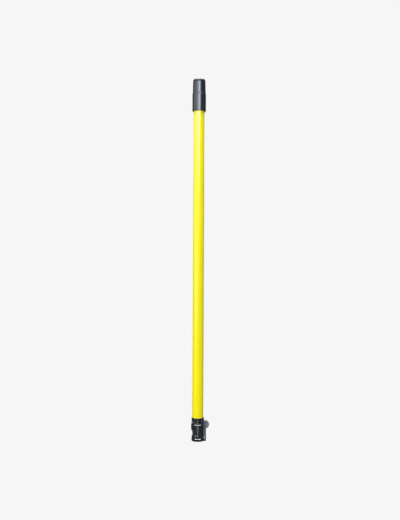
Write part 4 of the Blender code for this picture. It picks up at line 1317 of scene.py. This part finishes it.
def lever_body(lever, housing):
    """Hub, cam, hollow arm and thumb lobe as one sharp-edged body."""
    flange_inner = LEVER_HALF_WIDTH - lever.flange
    outer_x = PIVOT.x + lever.depth
    foot_z = PIVOT.z + lever.foot_radius
    rib_x = OUTER_R + GAP + housing.lever_rib
    channel_half = flange_inner - GAP
    inner_x = math.sqrt((OUTER_R + GAP) ** 2 - channel_half ** 2) + housing.lever_channel + GAP
    web_x = rib_x + GAP * 2

    top_z = LEVER_TOP_Z - lever.end_drop
    top_centre = (outer_x - lever.end_round, top_z - lever.end_round)
    outline = [(inner_x, foot_z), (outer_x, foot_z)] + arc(top_centre, lever.end_round, 0, 90, 10)
    outline += [(inner_x, top_z)]
    made = prism("cam_lever_casting", outline, "Y", -LEVER_HALF_WIDTH, LEVER_HALF_WIDTH)
    low = (inner_x - OVERSHOOT, -flange_inner, foot_z - OVERSHOOT)
    cut(made, block("hollow", low, (rib_x + GAP, flange_inner, LEVER_TOP_Z + OVERSHOOT)))

    hub = arc((PIVOT.x, PIVOT.z), lever.hub_radius, -90, 0, 12)
    hub += [(PIVOT.x + lever.hub_radius, PIVOT.z + lever.root_top), (web_x, PIVOT.z + lever.root_top)]
    hub += [(web_x, PIVOT.z + lever.cam_radius + lever.cam_throw)]
    hub += arc((PIVOT.x - lever.cam_throw, PIVOT.z), lever.cam_radius, *CAM_ENDS, 24)
    join(made, prism("hub", hub, "Y", -SHOE_HALF_WIDTH, SHOE_HALF_WIDTH))
    lobe_core = lever.lobe_radius - lever.tooth_height
    lobe = arc(lobe_centre(lever), lobe_core, *LOBE_ENDS, 60)
    join(made, prism("lobe", lobe, "Y", -lever.lobe_half_width, lever.lobe_half_width))

    recess_r = lever.lobe_radius - lever.lobe_rim
    recess_half = math.degrees(math.acos((outer_x + lever.lobe_rim / 2 - lobe_centre(lever)[0]) / recess_r))
    recess = arc(lobe_centre(lever), recess_r, -recess_half, recess_half, 40)
    cutters = []
    for side in SIDES:
        half = lever.lobe_half_width
        cutters.append(prism("recess", recess, "Y", *span(side, half - lever.lobe_recess, half + OVERSHOOT)))
        near, far = span(side, LEVER_HALF_WIDTH - lever.groove_depth, LEVER_HALF_WIDTH + OVERSHOOT)
        groove_low = (web_x, near, foot_z + lever.end_round)
        groove_high = (web_x + lever.groove_width, far, top_z - lever.end_round)
        cutters.append(block("groove", groove_low, groove_high))
    screw_radius = bpy.context.scene.pole_pivot.screw_radius
    outline = circle((PIVOT.x, PIVOT.z), screw_radius + GAP)
    cutters.append(prism("pivot_hole", outline, "Y", -LEVER_HALF_WIDTH * 2, LEVER_HALF_WIDTH * 2))
    cut(made, *cutters)
    return made


# Fasteners

# Share of the screw's radius that is left at its chamfered end
SCREW_TIP = 0.8

# Where the nut's chamfer starts, as a share of its half width, and how steeply it falls
NUT_FLAT = 0.96
NUT_SLOPE = 0.55


class PivotOperator(bpy.types.Operator):
    """Makes the pivot screw, its washers and its nut"""
    bl_idname = "pole.pivot"
    bl_label = "Pivot"

    def execute(self, context):
        pivot = context.scene.pole_pivot
        lug_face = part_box("pivot_washer_back")[0].y
        head_seat = lug_face + pivot.washer_thickness + GAP
        hand_over(pivot_screw(pivot, head_seat), "outer", "bright_steel", "pivot_screw")
        hand_over(pivot_nut(pivot, head_seat), "outer", "bright_steel", "pivot_nut")
        tree = sleeve_tree()
        for node in ("pivot_washer_front", "pivot_washer_back"):
            made = grow(f"{node}_steel", tree, "bright_steel", {
                "Bore": pivot.screw_radius + GAP, "Outside": pivot.washer_radius, "Low": 0.0,
                "High": pivot.washer_thickness, "Edge round": pivot.washer_edge, "Steps": SMALL_STEPS})
            along_y(made, (PIVOT.x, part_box(node)[0].y, PIVOT.z))
            hand_over(made, "outer", "bright_steel", node)
        return {"FINISHED"}


def pivot_screw(pivot, head_seat):
    """Button-edged screw with a hexagon socket, its head in front and a chamfered end behind."""
    end = head_seat + pivot.nut_thickness + pivot.end_proud
    head_low = -head_seat - pivot.head_thickness
    tip_r = pivot.screw_radius * SCREW_TIP
    outline = [(0, head_low), (pivot.head_radius, head_low), (pivot.head_radius, -head_seat)]
    outline += [(pivot.screw_radius, -head_seat), (pivot.screw_radius, end - GAP), (tip_r, end), (0, end)]
    made = lathe("pivot_screw_steel", softened(outline, pivot.edge_round, closed=False), SMALL_STEPS)
    corner_r = pivot.socket_across / 2 / math.cos(math.radians(30))
    socket = circle((0, 0), corner_r, 6)
    cut(made, prism("socket", socket, "Z", head_low - OVERSHOOT, head_low + pivot.socket_depth))
    return along_y(made, (PIVOT.x, 0, PIVOT.z))


def pivot_nut(pivot, head_seat):
    """Hexagon nut with its corners turned off on both faces."""
    top = pivot.nut_thickness
    corner_r = pivot.nut_across / 2 / math.cos(math.radians(30))
    made = prism("pivot_nut_steel", circle((0, 0), corner_r, 6), "Z", 0, top)
    flat_r = pivot.nut_across / 2 * NUT_FLAT
    rise = (corner_r - flat_r) * NUT_SLOPE
    turned_r = corner_r + GAP / 3
    outline = [(0, 0), (flat_r, 0), (turned_r, rise), (turned_r, top - rise), (flat_r, top), (0, top)]
    combine(made, [lathe("turned", outline, SMALL_STEPS)], "INTERSECT")
    hole_r = pivot.screw_radius + GAP / 3
    mouth_r = hole_r + OVERSHOOT
    hole = [(0, -OVERSHOOT), (mouth_r, -OVERSHOOT), (hole_r, GAP), (hole_r, top - GAP)]
    hole += [(mouth_r, top + OVERSHOOT), (0, top + OVERSHOOT)]
    cut(made, lathe("hole", hole, SMALL_STEPS))
    return along_y(made, (PIVOT.x, head_seat, PIVOT.z))


class RivetsOperator(bpy.types.Operator):
    """Makes the domed rivets of the housing and the flush rivets of the inner section"""
    bl_idname = "pole.rivets"
    bl_label = "Rivets"

    def execute(self, context):
        rivets = context.scene.pole_rivets
        tree = rivets_tree()
        seat = OUTER_R + context.scene.pole_housing.collar_low_wall + GAP
        made = grow("housing_rivets", tree, "bright_steel", {
            "Start": OUTER_BORE + GAP, "Seat": seat, "Edge": rivets.head_edge,
            "End": seat + rivets.head_height, "Shank radius": rivets.shank_radius,
            "Head radius": rivets.head_radius,
            "First direction": rivets.direction, "Second direction": -rivets.direction, "Low": RIVET_Z,
            "Rise": 0.0, "Count": 1, "Rings": 72, "Steps": 36})
        hand_over(made, "outer", "bright_steel", "housing_rivet_front", "housing_rivet_back")
        low, high = flush_rivet_heights()
        start = INNER_R - rivets.flush_length
        made = grow("flush_rivets", tree, "bright_steel", {
            "Start": start, "Seat": start, "Edge": rivets.flush_length - GAP, "End": INNER_R,
            "Shank radius": rivets.flush_radius, "Head radius": rivets.flush_radius,
            "First direction": 0.0, "Second direction": math.pi, "Low": low, "Rise": high - low, "Count": 2,
            "Rings": 60, "Steps": 24})
        nodes = [f"{end}_rivet_{side}" for end in ("tip", "rear") for side in ("right", "left")]
        hand_over(made, "inner_section", "bright_steel", *nodes)
        return {"FINISHED"}


# Tool end

# Rows of the insert's mesh in one turn of its thread
THREAD_ROWS = 8

# The thread's groove: its height over a crest, as a share of its depth, and how steep its flanks are
THREAD_PEAK = 0.92
THREAD_FLANK = 1.1


class TipOperator(bpy.types.Operator):
    """Makes the ferrule and its threaded insert"""
    bl_idname = "pole.tip"
    bl_label = "Tool end"

    def execute(self, context):
        tip = context.scene.pole_tip
        hand_over(tip_ferrule(tip), "inner_section", "black_moulding", "tip_ferrule")
        hand_over(tip_insert(tip), "inner_section", "yellow_brass", "tip_insert")
        return {"FINISHED"}


def tip_ferrule(tip):
    """Ferrule as thick as the inner tube, with a spigot in the tube and a seat for the insert."""
    seat_r = end_radii("tip_insert", 0)[1] + GAP
    seat_top = heights("tip_insert")[1] + GAP
    spigot_r = INNER_BORE - GAP
    shoulder = INNER_LOW - GAP
    spigot_top = INNER_LOW + tip.ferrule_spigot
    chamfer = tip.ferrule_chamfer
    outline = [(0, spigot_top), (0, seat_top), (seat_r, seat_top), (seat_r, TIP_Z)]
    outline += [(INNER_R - chamfer, TIP_Z), (INNER_R, TIP_Z + chamfer), (INNER_R, shoulder)]
    outline += [(spigot_r, shoulder), (spigot_r, spigot_top)]
    return lathe("tip_ferrule_moulding", softened(outline, tip.edge_round), FINE_STEPS)


def tip_insert(tip):
    """Brass insert whose bore carries a real thread."""
    low, high = heights("tip_insert")
    crest_r, outside = end_radii("tip_insert", 0)
    rows = math.ceil((high - low) / (tip.thread_pitch / THREAD_ROWS))
    directions = circle((0, 0), 1)
    rings = [[(outside * x, outside * y, height) for x, y in directions] for height in (high, low)]
    for row in range(rows + 1):
        height = low + (high - low) * row / rows
        ring = []
        for step, (x, y) in enumerate(directions):
            turn = (height / tip.thread_pitch - step / len(directions)) % 1
            groove = max(0.0, THREAD_PEAK - abs(turn * 2 - 1) * THREAD_FLANK)
            mouth = min(height - low, high - height)
            lead = max(0.0, tip.lead_in - mouth)
            radius = max(crest_r + tip.thread_depth * groove, crest_r + lead)
            ring.append((radius * x, radius * y, height))
        rings.append(ring)
    return shell("tip_insert_brass", rings)


# Pieces that keep their frame shape

class InsidesOperator(bpy.types.Operator):
    """Gives the pieces that keep their own shape their finishes"""
    bl_idname = "pole.insides"
    bl_label = "Inside pieces"

    def execute(self, context):
        for subpart in frame["record"]["subparts"]:
            node = frame["nodes"][subpart["node"]]
            if not node.hide_render:
                node.data.materials.clear()
                node.data.materials.append(finish(subpart["material_slot"]))
        return {"FINISHED"}


# Stage

class StageOperator(bpy.types.Operator):
    """Makes the pale floor and backdrop, the soft lights and the camera"""
    bl_idname = "pole.stage"
    bl_label = "Stage"

    def execute(self, context):
        settings = context.scene.pole_stage
        make_world(settings)
        make_floor(settings)
        make_lights()
        make_camera(settings)
        context.scene.view_settings.view_transform = "Standard"
        return {"FINISHED"}


# Light that reaches the pole from the backdrop, and how much of the light on the floor comes back
ROOM_TONE = 0.03
FLOOR_BOUNCE = 0.12


def make_world(settings):
    """A pale backdrop for the camera, which lights the pole only dimly."""
    world = bpy.data.worlds.new("studio")
    world.use_nodes = True
    bpy.context.scene.world = world
    recipe = Recipe(world.node_tree)
    background = recipe.tree.nodes["Background"]
    seen = recipe.node("ShaderNodeLightPath").other("Is Camera Ray")
    sockets = {"Factor": seen, "A": (ROOM_TONE, ROOM_TONE, ROOM_TONE), "B": settings.backdrop}
    recipe.feed(background, "Color", recipe.node("ShaderNodeMix", {"data_type": "RGBA"}, sockets, output=2))


def make_floor(settings):
    """A pale floor below the open pole, as bright as the backdrop to the camera and without shadows."""
    material = bpy.data.materials.new("floor")
    material.use_nodes = True
    recipe = Recipe(material.node_tree)
    recipe.tree.nodes.remove(recipe.tree.nodes["Principled BSDF"])
    seen = recipe.node("ShaderNodeLightPath").other("Is Camera Ray")
    glow = recipe.node("ShaderNodeEmission", {}, {"Color": settings.backdrop, "Strength": 1.0})
    pale = recipe.node("ShaderNodeBsdfDiffuse", {}, {"Color": toned(settings.backdrop, FLOOR_BOUNCE)})
    recipe.feed(recipe.tree.nodes["Material Output"], "Surface",
                recipe.node("ShaderNodeMixShader", {}, {0: seen, 1: pale, 2: glow}))
    half = settings.floor_size / 2
    mesh_builder = bmesh.new()
    corners = [(-half, -half), (half, -half), (half, half), (-half, half)]
    mesh_builder.faces.new([mesh_builder.verts.new((x, y, TIP_Z - settings.floor_drop)) for x, y in corners])
    floor = new_object("floor", mesh_builder)
    floor.data.materials.append(material)


def softbox(name, centre, width, height, radiance, tint):
    """A soft area light that faces the middle of the pole."""
    light = bpy.data.lights.new(name, "AREA")
    light.shape = "RECTANGLE"
    light.size = width
    light.size_y = height
    light.energy = radiance * math.pi * width * height
    light.color = tint
    lamp = bpy.data.objects.new(name, light)
    bpy.context.scene.collection.objects.link(lamp)
    lamp.location = centre
    lamp.rotation_mode = "QUATERNION"
    lamp.rotation_quaternion = (Vector(centre) - Vector((0, 0, TIP_Z / 2))).to_track_quat("Z", "Y")
    lamp.visible_camera = False


def beside_axis(azimuth, distance, height):
    """A point round the pole, 0 being the camera's side and +90 the lever's side."""
    turn = math.radians(azimuth)
    return distance * math.sin(turn), -distance * math.cos(turn), height


def make_lights():
    """Soft boxes round the pole, each with its place, width, height, radiance and tint."""
    cool = (0.80, 0.90, 1.0)
    white = (1.0, 0.99, 0.97)
    softbox("key_box", beside_axis(4, 6.0, 1.55), 3.5, 1.7, 16.5, cool)
    softbox("shoulder_box", beside_axis(-33, 5.0, 1.3), 3.0, 2.0, 4.6, cool)
    softbox("top_box", beside_axis(0, 0.25, 5.0), 6.4, 2.2, 24.0, white)
    softbox("left_fill", beside_axis(-78, 4.0, 0.6), 3.2, 2.0, 2.0, cool)
    softbox("low_fill", beside_axis(-45, 3.2, -0.9), 3.2, 0.7, 2.4, white)
    softbox("right_fill", beside_axis(75, 3.0, -0.3), 1.2, 1.8, 0.15, white)
    softbox("back_fill", beside_axis(180, 2.8, 0.9), 3.0, 2.0, 1.6, white)


def make_camera(settings):
    data = bpy.data.cameras.new("camera")
    data.lens = settings.lens
    data.sensor_width = 36
    data.clip_end = 50
    camera = bpy.data.objects.new("camera", data)
    bpy.context.scene.collection.objects.link(camera)
    camera.location = (settings.eye_shift, -settings.distance, settings.eye_height)
    level = Matrix.Rotation(math.radians(90), 3, "X")
    camera.rotation_euler = (level @ Matrix.Rotation(settings.roll, 3, "Z")).to_euler()
    bpy.context.scene.camera = camera


# Add-on

class PolePanel(bpy.types.Panel):
    """Lists the pieces in the order in which they are made"""
    bl_idname = "VIEW3D_PT_pole"
    bl_label = "Telescopic pole"
    bl_space_type = "VIEW_3D"
    bl_region_type = "UI"
    bl_category = "Pole"

    def draw(self, context):
        for operator in OPERATORS:
            self.layout.operator(operator.bl_idname)
        for name in SETTINGS:
            self.layout.label(text=name.removeprefix("pole_").capitalize())
            group = getattr(context.scene, name)
            for label in group.bl_rna.properties.keys():
                if label not in ("name", "rna_type"):
                    self.layout.prop(group, label)


OPERATORS = [StageOperator, TubesOperator, CapOperator, HousingOperator, LeverOperator, PivotOperator,
             RivetsOperator, TipOperator, InsidesOperator]
SETTINGS = {
    "pole_tubes": TubeSettings,
    "pole_cap": CapSettings,
    "pole_housing": HousingSettings,
    "pole_lever": LeverSettings,
    "pole_pivot": PivotSettings,
    "pole_rivets": RivetSettings,
    "pole_tip": TipSettings,
    "pole_colours": ColourSettings,
    "pole_stage": StageSettings,
}


def register():
    for name, group in SETTINGS.items():
        bpy.utils.register_class(group)
        setattr(bpy.types.Scene, name, bpy.props.PointerProperty(type=group))
    for operator in OPERATORS:
        bpy.utils.register_class(operator)
    bpy.utils.register_class(PolePanel)


def unregister():
    bpy.utils.unregister_class(PolePanel)
    for operator in reversed(OPERATORS):
        bpy.utils.unregister_class(operator)
    for name, group in SETTINGS.items():
        delattr(bpy.types.Scene, name)
        bpy.utils.unregister_class(group)


def main():
    register()
    for operator in OPERATORS:
        family, name = operator.bl_idname.split(".")
        getattr(getattr(bpy.ops, family), name)()


if __name__ == "__main__":
    main()
